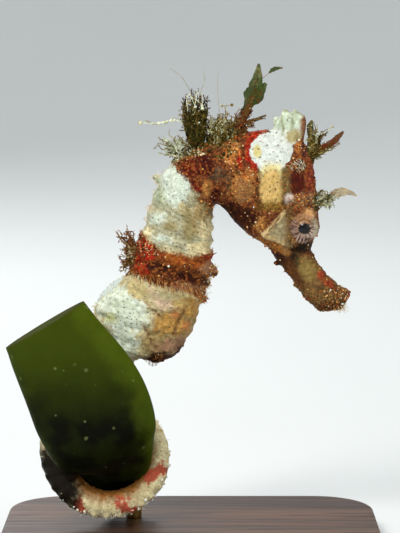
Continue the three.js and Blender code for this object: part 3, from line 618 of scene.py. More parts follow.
    "muzzle_brown": ((98, 60, 30), (74, 44, 22), 0.5, 1.2,
                     blot((20.6, 56.4, 1.2, 3.4, 32), (27.6, 49.6, 3.0, 0.9, 8))),
    "muzzle_tan": ((148, 126, 70), (122, 98, 50), 0.9, 1.2, blot((23.1, 57.5, 1.5, 2.5, 28))),
    "muzzle_red": ((168, 68, 38), (140, 60, 34), 0.3, 0.9, blot(
        (25.9, 55.8, 0.7, 1.1, 30), (27.3, 54.4, 1.3, 0.5, -30), (31.3, 51.5, 0.8, 0.8, 0))),
    "brow": ((158, 118, 82), (118, 84, 54), 0.7, 2.0,
             blot((22.4, 71.4, 2.4, 1.2, 0), (25.2, 70.6, 1.2, 2.2, 20))),
    "knob": ((228, 180, 120), (200, 148, 94), 0.5, 1.2, blot((23.4, 68.6, 1.2, 0.9, 0))),
}
pale = np.ones(count)
for first, second, soft, rough, inside in MARKINGS.values():
    pale += swell(inside, -soft, soft) * ((sum(second) > PALE_FROM) - pale)

# How coarse the dark skin is, how many pores the pale skin has, and how thickly painted glints (pale gold
# specks painted in place of highlights) and stuck grains lie on it.
smooth_skin = blot((22.6, 56.6, 2.6, 4.4, 30), (19.4, 59.8, 2.4, 2.0, 0), (22.4, 61.2, 2.8, 1.5, 8),
                   (20.9, 74.4, 1.6, 2.6, 0), (9.0, 67.9, 3.4, 1.8, -38))
pebbly = (1 - pale) * (1 - on_tail) * (1 - 0.85 * swell(smooth_skin, -0.8, 0.8))
pored = pale * (1 - 0.75 * swell(blot((17.0, 64.6, 3.4, 4.6, 0)), -0.4, 0.4)) * (1 - 0.45 * on_tail)
glints_and_grains = 0.10 + 0.9 * swell(blot(
    (8.4, 80.4, 2.2, 3.0, 0), (11.0, 75.6, 2.6, 2.2, 0), (-8.6, 61.4, 1.6, 1.6, 0), (3.6, 57.0, 1.6, 1.4, 0),
    (29.0, 51.6, 2.6, 2.0, 0), (21.4, 82.4, 1.4, 1.6, 0), (20.8, 71.4, 1.8, 1.4, 0)), -0.8, 0.4)
glints_and_grains *= 1 - 0.95 * on_tail
creased = 0.25 + 0.75 * swell(z, 58.0, 62.0) * (1 - 0.7 * swell(z, 70.0, 73.0))
creased *= 1 - 0.6 * swell(MARKINGS["milk"][4], -0.5, 0.5)

# Relief: knobs where the rings cross the ridges, creases between them and a groove per ring, and on the
# dark skin a coarse, granular surface.
coarse, medium, fine = lumps(3.0, 5.0), lumps(1.1, 9.0), lumps(0.5, 2.0, 2)
knobs = crest * ridged(turn, TRUNK_RIDGES, 0.13) * on_trunk * 0.25
knobs += crest * ridged(turn, TAIL_RIDGES, 0.2) * on_tail * 0.16 * small
creases = -0.13 * np.abs(np.sin(math.pi * (passed * 4 + 0.5 * coarse))) ** 6
creases *= on_trunk * creased + 0.3 * on_tail
grooves = -0.17 * np.exp(-(((passed + 0.14 * coarse + 0.5) % 1 - 0.5) / 0.09) ** 2) * on_trunk
relief = knobs + creases + grooves + 0.12 * coarse * (on_head + 0.8 * on_trunk) + 0.07 * medium
relief += pebbly * (0.13 * fine + 0.16 * np.maximum(0, medium))

# The head: gill cover with its raised edges, brow, the folds round the eye, lips and mouth.
head_side = on_side * on_head
for high, mask, *line in [
    (0.28, head_side, 18.9, 69.4, 14.7, 64.4, 0.50), (0.30, head_side, 14.6, 64.2, 20.0, 61.8, 0.50),
    (-0.30, head_side, 18.0, 69.0, 14.2, 65.4, 0.20), (-0.30, head_side, 18.6, 69.4, 13.6, 69.4, 0.40),
    (-0.40, head_side, 19.5, 69.4, 19.4, 62.0, 0.60), (-0.35, head_side, 13.4, 77.5, 13.1, 69.8, 0.50),
    (0.25, on_head, 23.6, 80.0, 24.2, 71.0, 0.90), (-0.30, on_head, 20.8, 60.6, 24.6, 61.0, 0.60),
    (0.30, on_head, 30.9, 52.3, 29.6, 48.9, 0.50), (-0.35, on_head, 31.5, 50.7, 29.9, 50.3, 0.28),
]:
    relief += high * fold(*line) * mask
folds = np.sin(eye_turn * 15 + 2.2 * medium) * swell(from_eye, 1.8, 2.4) * (1 - swell(from_eye, 2.9, 3.5))
relief += 0.09 * folds * on_orbit
relief += 0.16 * swell(in_band, -0.2, 0.6) * (1 + 0.8 * fine)

# The lower trunk sags in slanting folds, with a lumpy belly and a ridge under the saddle.
lumpy = on_trunk * (1 - swell(z, 49.0, 52.0))
for high, *line in [
    (-0.34, -12.4, 55.0, -5.5, 47.6, 0.50), (-0.30, -9.5, 46.5, -6.9, 41.4, 0.45),
    (-0.22, -1.2, 49.6, -3.6, 44.6, 0.40), (0.26, -3.6, 53.9, 1.1, 51.7, 0.45),
]:
    relief += high * fold(*line) * on_trunk * on_side
relief += 0.20 * medium * lumpy
at = at + out * relief[:, None]

# The skin dips under the eye, so that the eye shows in a round opening with a soft rim.
OPENING_RADIUS, OPENING_RIM, OPENING_DEPTH = 1.36, 1.8, 1.1
opening = (1 - swell(from_eye, OPENING_RADIUS, OPENING_RIM)) * on_orbit
at[:, 1] -= np.sign(y) * opening * OPENING_DEPTH
skin_mesh.vertices.foreach_set("co", at.ravel())
skin_shape = bmesh.new()
skin_shape.from_mesh(skin_mesh)
soften(skin_shape, 0.2)
bpy.data.meshes.remove(skin_mesh)
surface = BVHTree.FromBMesh(skin_shape)

skin_finish, tree, shader = new_finish("painted_skin", 0.42)
ragged = maths(tree, "SUBTRACT", grain(tree, 1.5, 5.0, 0.68), 0.5)
tones = between(tree, grain(tree, 0.8, 4.0, 0.7, 0.01), 0.38, 0.62)
cells = on_object(tree)


def marking(name):
    return add(tree, "ShaderNodeAttribute", attribute_name=name).outputs["Fac"]


def cover(name, soft, rough):
    edge = maths(tree, "MULTIPLY_ADD", ragged, rough * 2, marking(name))
    return between(tree, edge, -soft, soft)


def specks(spacing, size, share, shift):
    """Round specks of mixed sizes, a share of all cells having one: 1 on a speck, 0 elsewhere."""
    moved = add(tree, "ShaderNodeMapping", {"Vector": cells, "Location": (shift, -shift, shift)})
    away, tints = scattered(tree, {"Vector": moved.outputs[0], "Scale": 1000 / spacing})
    chosen = maths(tree, "LESS_THAN", tints[0], share)
    reach = maths(tree, "MULTIPLY_ADD", tints[2], size * 0.6, size * 0.5)
    near = between(tree, away, reach, maths(tree, "MULTIPLY", reach, 0.6))
    return maths(tree, "MULTIPLY", near, chosen), tints[1]


# The pores lie in loose rows, so they are laid out along the body and round it.
unrolled = add(tree, "ShaderNodeCombineXYZ", {0: marking("along"), 1: marking("round")}).outputs[0]


def pores(spacing, size, share):
    """Dark pores of nearly one size: 1 in a pore, 0 elsewhere."""
    rows_of_spots = {"Vector": unrolled, "Scale": 1 / spacing, "Randomness": 0.8}
    away, tints = scattered(tree, rows_of_spots, voronoi_dimensions="2D")
    reach = maths(tree, "MULTIPLY_ADD", tints[1], size * 0.7, size * 0.6)
    near = between(tree, away, reach, maths(tree, "MULTIPLY", reach, 0.45))
    return maths(tree, "MULTIPLY", near, maths(tree, "LESS_THAN", tints[0], share))


def round_eye(tree):
    """Skin round the pupil, streaked outwards; and its streaks and place in mm from the eye's centre."""
    shift = (-EYE.x / 1000, 0.0, -EYE.z / 1000)
    centred = add(tree, "ShaderNodeMapping", {"Vector": on_object(tree), "Location": shift})
    parts = add(tree, "ShaderNodeSeparateXYZ", {"Vector": centred.outputs[0]})
    across = maths(tree, "MULTIPLY", parts.outputs[0], 1000.0)
    upward = maths(tree, "MULTIPLY", parts.outputs[2], 1000.0)
    squares = maths(tree, "MULTIPLY_ADD", across, across, maths(tree, "MULTIPLY", upward, upward))
    reach = maths(tree, "SQRT", squares)
    sideways = maths(tree, "DIVIDE", across, reach)
    level = maths(tree, "DIVIDE", upward, reach)
    spin = add(tree, "ShaderNodeCombineXYZ", {0: sideways, 1: level, 2: maths(tree, "MULTIPLY", reach, 0.10)})
    noise_inputs = {"Vector": spin.outputs[0], "Scale": 7.0, "Detail": 5.0}
    streak = add(tree, "ShaderNodeTexNoise", noise_inputs).outputs[0]
    low = maths(tree, "MULTIPLY_ADD", level, -0.07, streak)
    tone = blend(tree, between(tree, low, 0.45, 0.60), paint(84, 58, 46), paint(194, 166, 148))
    tone = blend(tree, between(tree, sideways, -0.35, -0.9, 0.0, 0.55), tone, paint(112, 78, 62))
    outer = maths(tree, "MULTIPLY", between(tree, sideways, 0.3, 0.9), between(tree, reach, 1.5, 2.4))
    tone = blend(tree, maths(tree, "MULTIPLY", outer, 0.7), tone, paint(198, 184, 152))
    cloud = maths(tree, "SUBTRACT", grain(tree, 0.7, 3.0), 0.5)
    upper = between(tree, maths(tree, "MULTIPLY_ADD", cloud, 1.4, level), 0.35, 1.0, 0.0, 0.7)
    tone = blend(tree, upper, tone, paint(178, 130, 84))
    return tone, streak, across, upward


coat = paint(200, 188, 144)
pale_skin = marking("pale")
rough_skin = maths(tree, "SUBTRACT", 1.0, pale_skin)
for name, (first, second, soft, rough, _) in MARKINGS.items():
    two = blend(tree, tones, paint(*first), paint(*second))
    coat = blend(tree, cover(name, soft, rough), coat, two)

# Pebbled grain on the dark skin, with painted shade in the gaps between pebbles; fine crease lines along the
# rings of the pale skin, with painted shade in their hollows; then pores, dark specks and painted glints.
PEBBLE = 0.42
pebble_tints = scattered(tree, {"Vector": cells, "Scale": 1000 / PEBBLE})[1]
pebble_edge = add(tree, "ShaderNodeTexVoronoi", {"Vector": cells, "Scale": 1000 / PEBBLE},
                  feature="DISTANCE_TO_EDGE")
bright = between(tree, pebble_tints[0], 0.0, 1.0, 0.62, 1.5)
# Painted shade: each pebble darkens towards its edge, as shade lying in the gaps between pebbles.
bright = maths(tree, "MULTIPLY", bright, between(tree, pebble_edge.outputs["Distance"], 0.0, 0.16, 0.6, 1.0))
coarse_skin = marking("pebbly")
coat = blend(tree, coarse_skin, coat, bright, "MULTIPLY")
ginger = maths(tree, "MULTIPLY", maths(tree, "GREATER_THAN", pebble_tints[1], 0.8), coarse_skin)
coat = blend(tree, maths(tree, "MULTIPLY", ginger, 0.35), coat, paint(190, 112, 48))
lines = maths(tree, "SINE", maths(tree, "MULTIPLY_ADD", marking("bands"), 2 * math.pi * 3.5,
                                  maths(tree, "MULTIPLY", ragged, 12.0)))
clouded = between(tree, grain(tree, 1.1, 5.0, 0.68, 0.04), 0.32, 0.68, 0.80, 1.10)
coat = blend(tree, pale_skin, coat, clouded, "MULTIPLY")
uneven = between(tree, grain(tree, 2.4, 3.0, 0.6, 0.06), 0.36, 0.60, 0.35, 1.0)
wrinkled = maths(tree, "MULTIPLY", maths(tree, "MULTIPLY", pale_skin, marking("creased")), uneven)
# Painted shade: the fine crease lines are painted darker in their hollows and a little lighter on their
# crests.
coat = blend(tree, wrinkled, coat, between(tree, lines, -1.0, 0.5, 0.80, 1.05), "MULTIPLY")
small_pores = maths(tree, "MULTIPLY", pores(0.62, 0.13, 0.4), 0.5)
skin_pores = maths(tree, "MAXIMUM", pores(1.05, 0.17, 0.85), small_pores)
strip_pores = maths(tree, "MULTIPLY", pores(1.4, 0.2, 0.95), cover("sand", 0.4, 0.0))
skin_pores = maths(tree, "MAXIMUM", skin_pores, strip_pores)
pitted = maths(tree, "MULTIPLY", maths(tree, "MULTIPLY", skin_pores, marking("pored")), 0.8)
coat = blend(tree, pitted, coat, paint(96, 78, 60))
dust, _ = specks(0.5, 0.40, 0.35, 0.021)
dusted = maths(tree, "MULTIPLY", maths(tree, "MULTIPLY", dust, marking("dusty")), 0.5)
coat = blend(tree, dusted, coat, paint(120, 76, 42))
# Painted highlights: pale gold specks on the rough dark skin stand in for glints on its granules; they are
# raised a little too.
painted_glints, glint_tint = specks(0.60, 0.38, maths(tree, "MULTIPLY", marking("glints_and_grains"), 0.8), 0.017)
glint_spots = maths(tree, "MULTIPLY", painted_glints, rough_skin)
glint_paint = blend(tree, between(tree, glint_tint, 0.3, 0.7), paint(204, 126, 54), paint(236, 198, 132))
coat = blend(tree, glint_spots, coat, glint_paint)
eye_skin, _, _, _ = round_eye(tree)
coat = blend(tree, cover("orbit", 0.3, 0.9), coat, eye_skin)
wrinkles = maths(tree, "MULTIPLY", lines, wrinkled)
height = maths(tree, "MULTIPLY_ADD", wrinkles, 0.5, grain(tree, 0.45, 3.0, 0.6, 0.02))
pebbled = between(tree, pebble_edge.outputs["Distance"], 0.0, 0.3)
height = maths(tree, "MULTIPLY_ADD", maths(tree, "MULTIPLY", pebbled, coarse_skin), 0.9, height)
height = maths(tree, "MULTIPLY_ADD", glint_spots, 0.7, height)
height = maths(tree, "MULTIPLY_ADD", pitted, -0.5, height)
feed(tree, shader, {
    "Base Color": coat, "Normal": bumps(tree, height, 0.00014, 0.8),
    "Roughness": between(tree, grain(tree, 1.3), 0.3, 0.7, 0.40, 0.60), "Specular IOR Level": 0.08,
    "Subsurface Weight": 0.12, "Subsurface Scale": 0.0008, "Subsurface Radius": (1.0, 0.6, 0.4),
})
skin = piece("skin", skin_shape, skin_finish)
skin_rules = {name: row[4] for name, row in MARKINGS.items()}
skin_rules.update({
    "bands": passed + 0.07 * coarse, "creased": creased, "pale": pale, "pebbly": pebbly, "pored": pored,
    "glints_and_grains": glints_and_grains,
    "dusty": pale * np.maximum(on_tail, 0.9 * swell(z, 86.0, 87.5) * on_head),
    "along": distance, "round": np.abs(turn) * (0.8 * deep + 0.2 * half) + np.maximum(0, z - 83.5),
    "orbit": np.where(on_orbit > 0.2, ORBIT_RADIUS - from_eye, -3.0),
})
for name, values in skin_rules.items():
    skin.data.attributes.new(name, "FLOAT", "POINT").data.foreach_set("value", values)
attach(skin, "root")
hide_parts("snout", "head", "coronet", "neck", "trunk_upper", "trunk_lower",
            *[f"tail_{i}" for i in range(1, 7)])

# ---- Eyes ----
# Two glass eyes, each a polished ball set in the skin's round opening. The streaks of the skin run on
# over it to a thin brown edge and a black, slightly ragged pupil that is wider than it is high.
eye_finish, tree, shader = new_finish("eye_glass", 0.13)
iris, streak, across, upward = round_eye(tree)
wide = maths(tree, "MULTIPLY", across, 0.84)
high = maths(tree, "MULTIPLY", upward, 0.94)
oval = maths(tree, "SQRT", maths(tree, "MULTIPLY_ADD", wide, wide, maths(tree, "MULTIPLY", high, high)))
edge = maths(tree, "MULTIPLY_ADD", maths(tree, "SUBTRACT", streak, 0.5), 1.1, oval)
iris = blend(tree, between(tree, edge, 1.25, 1.02), iris, paint(104, 78, 52))
iris = blend(tree, between(tree, edge, 1.04, 0.94), iris, paint(9, 8, 8))
feed(tree, shader, {"Base Color": iris, "Specular IOR Level": 0.3})
CORNEA_RADIUS, CORNEA_RISE = 1.2, 0.12
for side, name in ((-1, "eye_right"), (1, "eye_left")):
    globe = bmesh.new()
    bmesh.ops.create_uvsphere(globe, u_segments=56, v_segments=36, radius=EYE_RADIUS)
    bmesh.ops.rotate(globe, verts=globe.verts, cent=(0, 0, 0), matrix=Matrix.Rotation(math.pi / 2, 3, "X"))
    bmesh.ops.translate(globe, verts=globe.verts, vec=(EYE.x, side * EYE.y, EYE.z))
    for vert in globe.verts:
        from_axis = math.hypot(vert.co.x - EYE.x, vert.co.z - EYE.z)
        if (vert.co.y * side) > EYE.y and from_axis < CORNEA_RADIUS:
            vert.co.y += side * CORNEA_RISE * (1 - from_axis / CORNEA_RADIUS) ** 0.5
    eye = piece(name + "_glass", globe, eye_finish)
    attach(eye, "root")
    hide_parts(name)

# ---- Fins ----
# Thin, clear membranes held out by fine bony rays: a low dorsal fin on the lower back, a small anal
# fin and a fan on each side of the neck. Each is a pleated sheet, about two tenths of a mm thick.
FIN_THICKNESS = 0.00018


def fin_finish(name, membrane, ray_tone, thin, thick):
    """A membrane and its rays: their two colours and how far each of them covers what is behind."""
    finish, tree, shader = new_finish(name, 0.4)
    rays = add(tree, "ShaderNodeAttribute", attribute_name="ray").outputs["Fac"]
    cloudy = blend(tree, grain(tree, 1.2), paint(*membrane), paint(*(0.86 * c for c in membrane)))
    rayed = blend(tree, between(tree, rays, 0.4, 1.0), cloudy, paint(*ray_tone))
    covering = between(tree, rays, 0.3, 0.95, thin, thick)
    feed(tree, shader, {"Base Color": rayed, "Alpha": covering, "Normal": bumps(tree, rays, 0.0001, 0.4)})
    return finish


def fin(name, finish, rays, place):
    """A pleated sheet: place gives each point from its share across the rays and out from the root."""
    sheet = bmesh.new()
    bmesh.ops.create_grid(sheet, x_segments=rays * 8, y_segments=16, size=0.5)
    spread = np.array([vert.co for vert in sheet.verts])
    across, outward = spread[:, 0] + 0.5, spread[:, 1] + 0.5
    pleat = np.cos(2 * math.pi * rays * across)
    layer = sheet.verts.layers.float.new("ray")
    for vert, spot, ray in zip(sheet.verts, place(across, outward, pleat), pleat * 0.5 + 0.5):
        vert.co = spot
        vert[layer] = ray
    made = piece(name + "_membrane", sheet, finish)
    thicken(made, FIN_THICKNESS)
    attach(made, "root")
    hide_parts(name)


def mid_fin(start, end, rise, root):
    way = np.array([end[0] - start[0], end[1] - start[1]])
    outwards = np.array([way[1], -way[0]]) / math.hypot(*way)

    def place(across, outward, pleat):
        arch = np.sin(math.pi * (0.12 + 0.8 * across)) ** 0.7 + 0.05 * (pleat - 1)
        high = -root + outward * (root + rise * arch)
        y = 0.06 * pleat * outward + 0.25 * outward**2 * np.sin(5 * across)
        px = start[0] + way[0] * across + outwards[0] * high
        pz = start[1] + way[1] * across + outwards[1] * high
        return np.stack([px, y, pz], axis=1)
    return place


# The fan on the neck: its root, the angle it starts at, its spread and its flare, and its two lengths.
FAN_X, FAN_Y, FAN_Z = 13.4, 3.7, 73.6
FAN_FROM, FAN_SPREAD, FAN_FLARE = 221, 74, math.radians(20)
FAN_ROOT, FAN_REACH = 0.8, 5.2


def fan_fin(side):
    def place(across, outward, pleat):
        angle = np.radians(FAN_FROM - FAN_SPREAD * across)
        reach = FAN_ROOT + outward * (FAN_REACH + 0.25 * (pleat - 1) - FAN_ROOT)
        lift = 0.5 * outward + 0.06 * pleat * outward + 0.35 * outward**2
        forward = reach * np.cos(angle)
        px = FAN_X + forward * math.cos(FAN_FLARE)
        py = FAN_Y + (-forward * math.sin(FAN_FLARE) + lift * 0.3)
        return np.stack([px, side * py, FAN_Z + reach * np.sin(angle)], axis=1)
    return place


tan_fin = fin_finish("fin_tan", (176, 122, 62), (160, 104, 52), 0.12, 0.4)
clear_fin = fin_finish("fin_clear", (198, 220, 212), (214, 218, 196), 0.3, 0.55)
fin("dorsal_fin", clear_fin, 9, mid_fin((-12.2, 55.2), (-18.6, 49.6), 1.9, 0.5))
fin("anal_fin", tan_fin, 4, mid_fin((-9.0, 39.2), (-6.2, 38.9), 1.8, 0.6))
fin("pectoral_fin_right", tan_fin, 11, fan_fin(-1))
fin("pectoral_fin_left", tan_fin, 11, fan_fin(1))

# ---- Growths: tufts, fronds and beads that stand on the skin ----
# Soft skin filaments and weed that has settled on them, in clumps on the neck, nape, brow and back.
# Fine tapering stems with twigs and hairs, strung with beads, rise from a mound of small grains.
rng = random.Random(7)
BAKE_PATCH, BAKE_CELL, BAKE_BEAD = 0.003, 0.0036, 0.0014
THICK_STRAND, LARGE_BEAD = 0.11, 0.22
STEM_RADII = (0.18, 0.34)
LEAF_THICKNESS = 0.00016


def bake_patch(taken, spot):
    """A free patch on the OFBake map, nearest to where the skin lies on an unwrap along and round it."""
    number = finder.find(spot)[1]
    u = 0.03 + 0.9 * rows[number]
    v = 0.05 + 0.9 * (turns[number] / (2 * math.pi) + 0.5)
    cell = (round(u / BAKE_CELL), round(v / BAKE_CELL))
    while cell in taken:
        cell = (cell[0] + rng.choice((-1, 0, 1)), cell[1] + rng.choice((-1, 0, 1)))
    taken.add(cell)
    return cell[0] * BAKE_CELL, cell[1] * BAKE_CELL


def any_way():
    return Vector((rng.gauss(0, 1), rng.gauss(0, 1), rng.gauss(0, 1))).normalized()


def strand(strands, points, start, end, tone, patch, step=0.45):
    """A smooth strand through the points that tapers from the start to the end radius."""
    points = np.array([tuple(p) for p in points])
    length = np.sum(np.linalg.norm(np.diff(points, axis=0), axis=1))
    share = np.linspace(0, 1, max(3, round(length / step) + 1))
    line = curve(points, share)
    strands.append((line, start + (end - start) * share**0.8, tone, patch))
    return line


def frond(strands, beads, points, start, tone, patch, twigs, reach, wobble=0.3):
    """A wavy stem with side twigs; each twig has a few hairs, and some end in a bead."""
    bent = [points[0]]
    for before, spot in zip(points, points[1:]):
        bent.append([(a + b) / 2 + rng.gauss(0, wobble) for a, b in zip(before, spot)])
        bent.append([c + rng.gauss(0, wobble) for c in spot])
    line = strand(strands, bent, start, 0.05, tone, patch)
    for _ in range(twigs):
        i = rng.randrange(1, len(line) - 1)
        way = Vector(line[i + 1] - line[i - 1]).normalized()
        out = any_way()
        out = (out - way * out.dot(way)).normalized()
        long = reach * rng.uniform(0.35, 1.2) * (1.1 - 0.5 * i / len(line))
        aim = (out + way * rng.uniform(0.1, 1.0)).normalized()
        root = Vector(line[i])
        tip = root + aim * long + any_way() * long * 0.35
        fat = max(0.07, start * 0.5 * (1 - 0.5 * i / len(line)))
        twig_tone = tone + rng.uniform(-0.15, 0.3)
        bend = root + aim * long * 0.55 + any_way() * long * 0.3
        twig = strand(strands, [root, bend, tip], fat, 0.04, twig_tone, patch, 0.4)
        for _ in range(rng.choice((2, 3, 3, 4))):
            k = rng.randrange(1, len(twig))
            end = Vector(twig[k]) + any_way() * long * 0.45
            middle = (Vector(twig[k]) + end) / 2 + any_way() * long * 0.2
            hair_tone = twig_tone + rng.uniform(-0.1, 0.25)
            strand(strands, [twig[k], middle, end], 0.05, 0.03, hair_tone, patch, 0.5)
        if rng.random() < 0.3:
            beads.append((tip, rng.uniform(0.08, 0.18), twig_tone + rng.uniform(0.0, 0.5), patch))


def filament(strands, beads, points, radius, tone, patch, knots):
    """A thin thread strung with small pale beads, the largest at its tip."""
    line = strand(strands, points, radius, radius * 0.6, tone, patch, 0.35)
    for k in range(knots):
        i = len(line) - 1 if k == 0 else rng.randrange(1, len(line))
        size = radius * rng.uniform(1.2, 2.4) + (0.16 if k == 0 and radius > 0.07 else 0.0)
        beads.append((Vector(line[i]), size, tone + rng.uniform(-0.2, 0.2), patch))


def strand_mesh(strands, level):
    """The strands as one mesh of round tubes, with their tones and their patches of the OFBake map."""
    wire = bpy.data.curves.new("strands", "CURVE")
    wire.dimensions = "3D"
    wire.bevel_depth = 1.0
    wire.bevel_resolution = level
    for line, radius, _, _ in strands:
        spline = wire.splines.new("POLY")
        spline.points.add(len(line) - 1)
        spline.points.foreach_set("co", np.column_stack([line, np.ones(len(line))]).ravel())
        spline.points.foreach_set("radius", radius)
    holder = placed("strands", wire)
    depsgraph = bpy.context.evaluated_depsgraph_get()
    mesh = bpy.data.meshes.new_from_object(holder.evaluated_get(depsgraph))
    bpy.data.objects.remove(holder)
    sides = 4 + 2 * level
    knots = np.array([len(line) for line, _, _, _ in strands])
    tone = np.repeat([row[2] for row in strands], knots * sides)
    mesh.attributes.new("tone", "FLOAT", "POINT").data.foreach_set("value", tone)
    share = np.concatenate([np.linspace(0, 1, n) for n in knots])
    u = np.repeat([row[3][0] for row in strands], knots * sides)
    u += BAKE_PATCH * np.tile(np.arange(sides) / sides, knots.sum())
    v = np.repeat([row[3][1] for row in strands], knots * sides)
    v += BAKE_PATCH * np.repeat(share, sides)
    corners = np.zeros(len(mesh.loops), dtype=int)
    mesh.loops.foreach_get("vertex_index", corners)
    mesh.uv_layers[0].name = "OFBake"
    mesh.uv_layers[0].data.foreach_set("uv", np.column_stack([u, v])[corners].ravel())
    return mesh


def grown(name, strands, beads, finish, node=None):
    """One piece of growth from its strands and beads; a bead is its place, radius, tone and patch."""
    shape = bmesh.new()
    tone_layer = shape.verts.layers.float.new("tone")
    bake = shape.loops.layers.uv.new("OFBake")
    for place, radius, tone, patch in beads:
        level = 2 if radius > LARGE_BEAD else 1
        made = bmesh.ops.create_icosphere(shape, subdivisions=level, radius=radius,
                                          matrix=Matrix.Translation(place))["verts"]
        for vert in made:
            vert[tone_layer] = tone
            for loop in vert.link_loops:
                aside = (vert.co - Vector(place)) * (BAKE_BEAD / radius)
                loop[bake].uv = (patch[0] + BAKE_PATCH / 2 + aside.x, patch[1] + BAKE_PATCH / 2 + aside.z)
    thick = [row for row in strands if row[1][0] > THICK_STRAND]
    thin = [row for row in strands if row[1][0] <= THICK_STRAND]
    for level, chosen in ((1, thick), (0, thin)):
        if chosen:
            mesh = strand_mesh(chosen, level)
            shape.from_mesh(mesh)
            bpy.data.meshes.remove(mesh)
    bmesh.ops.recalc_face_normals(shape, faces=shape.faces)
    made = piece(name, shape, finish)
    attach(made, "root")
    if node:
        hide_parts(node)


def growth_finish(name, tones, roughness):
    """A finish whose colour runs through the tones, from the darkest to the palest, as each strand has."""
    finish, tree, shader = new_finish(name, roughness)
    tone = add(tree, "ShaderNodeAttribute", attribute_name="tone").outputs["Fac"]
    cloud = maths(tree, "SUBTRACT", grain(tree, 0.9, 4.0, 0.65), 0.5)
    value = maths(tree, "MULTIPLY_ADD", cloud, 0.9, tone)
    colour = paint(*tones[0])
    for number, stop in enumerate(tones[1:]):
        low = number / (len(tones) - 1)
        colour = blend(tree, between(tree, value, low, low + 1 / (len(tones) - 1)), colour, paint(*stop))
    feed(tree, shader, {
        "Base Color": colour, "Normal": bumps(tree, grain(tree, 0.35, 2.0), 0.0001, 0.6),
        "Subsurface Weight": 0.15, "Subsurface Scale": 0.0006, "Specular IOR Level": 0.08,
    })
    return finish


weed = growth_finish("weed_olive", [
    (32, 30, 8), (52, 48, 14), (72, 64, 20), (102, 80, 30), (136, 116, 58), (186, 184, 138),
    (222, 224, 196)], 0.6)
weed_pale = growth_finish("weed_grey", [
    (46, 38, 20), (78, 66, 36), (104, 94, 56), (128, 120, 80), (158, 154, 116), (196, 198, 168),
    (226, 228, 208)], 0.6)
weed_red = growth_finish("weed_russet", [
    (48, 28, 12), (76, 46, 20), (112, 52, 26), (94, 72, 30), (128, 98, 54), (180, 152, 108),
    (220, 212, 186)], 0.6)

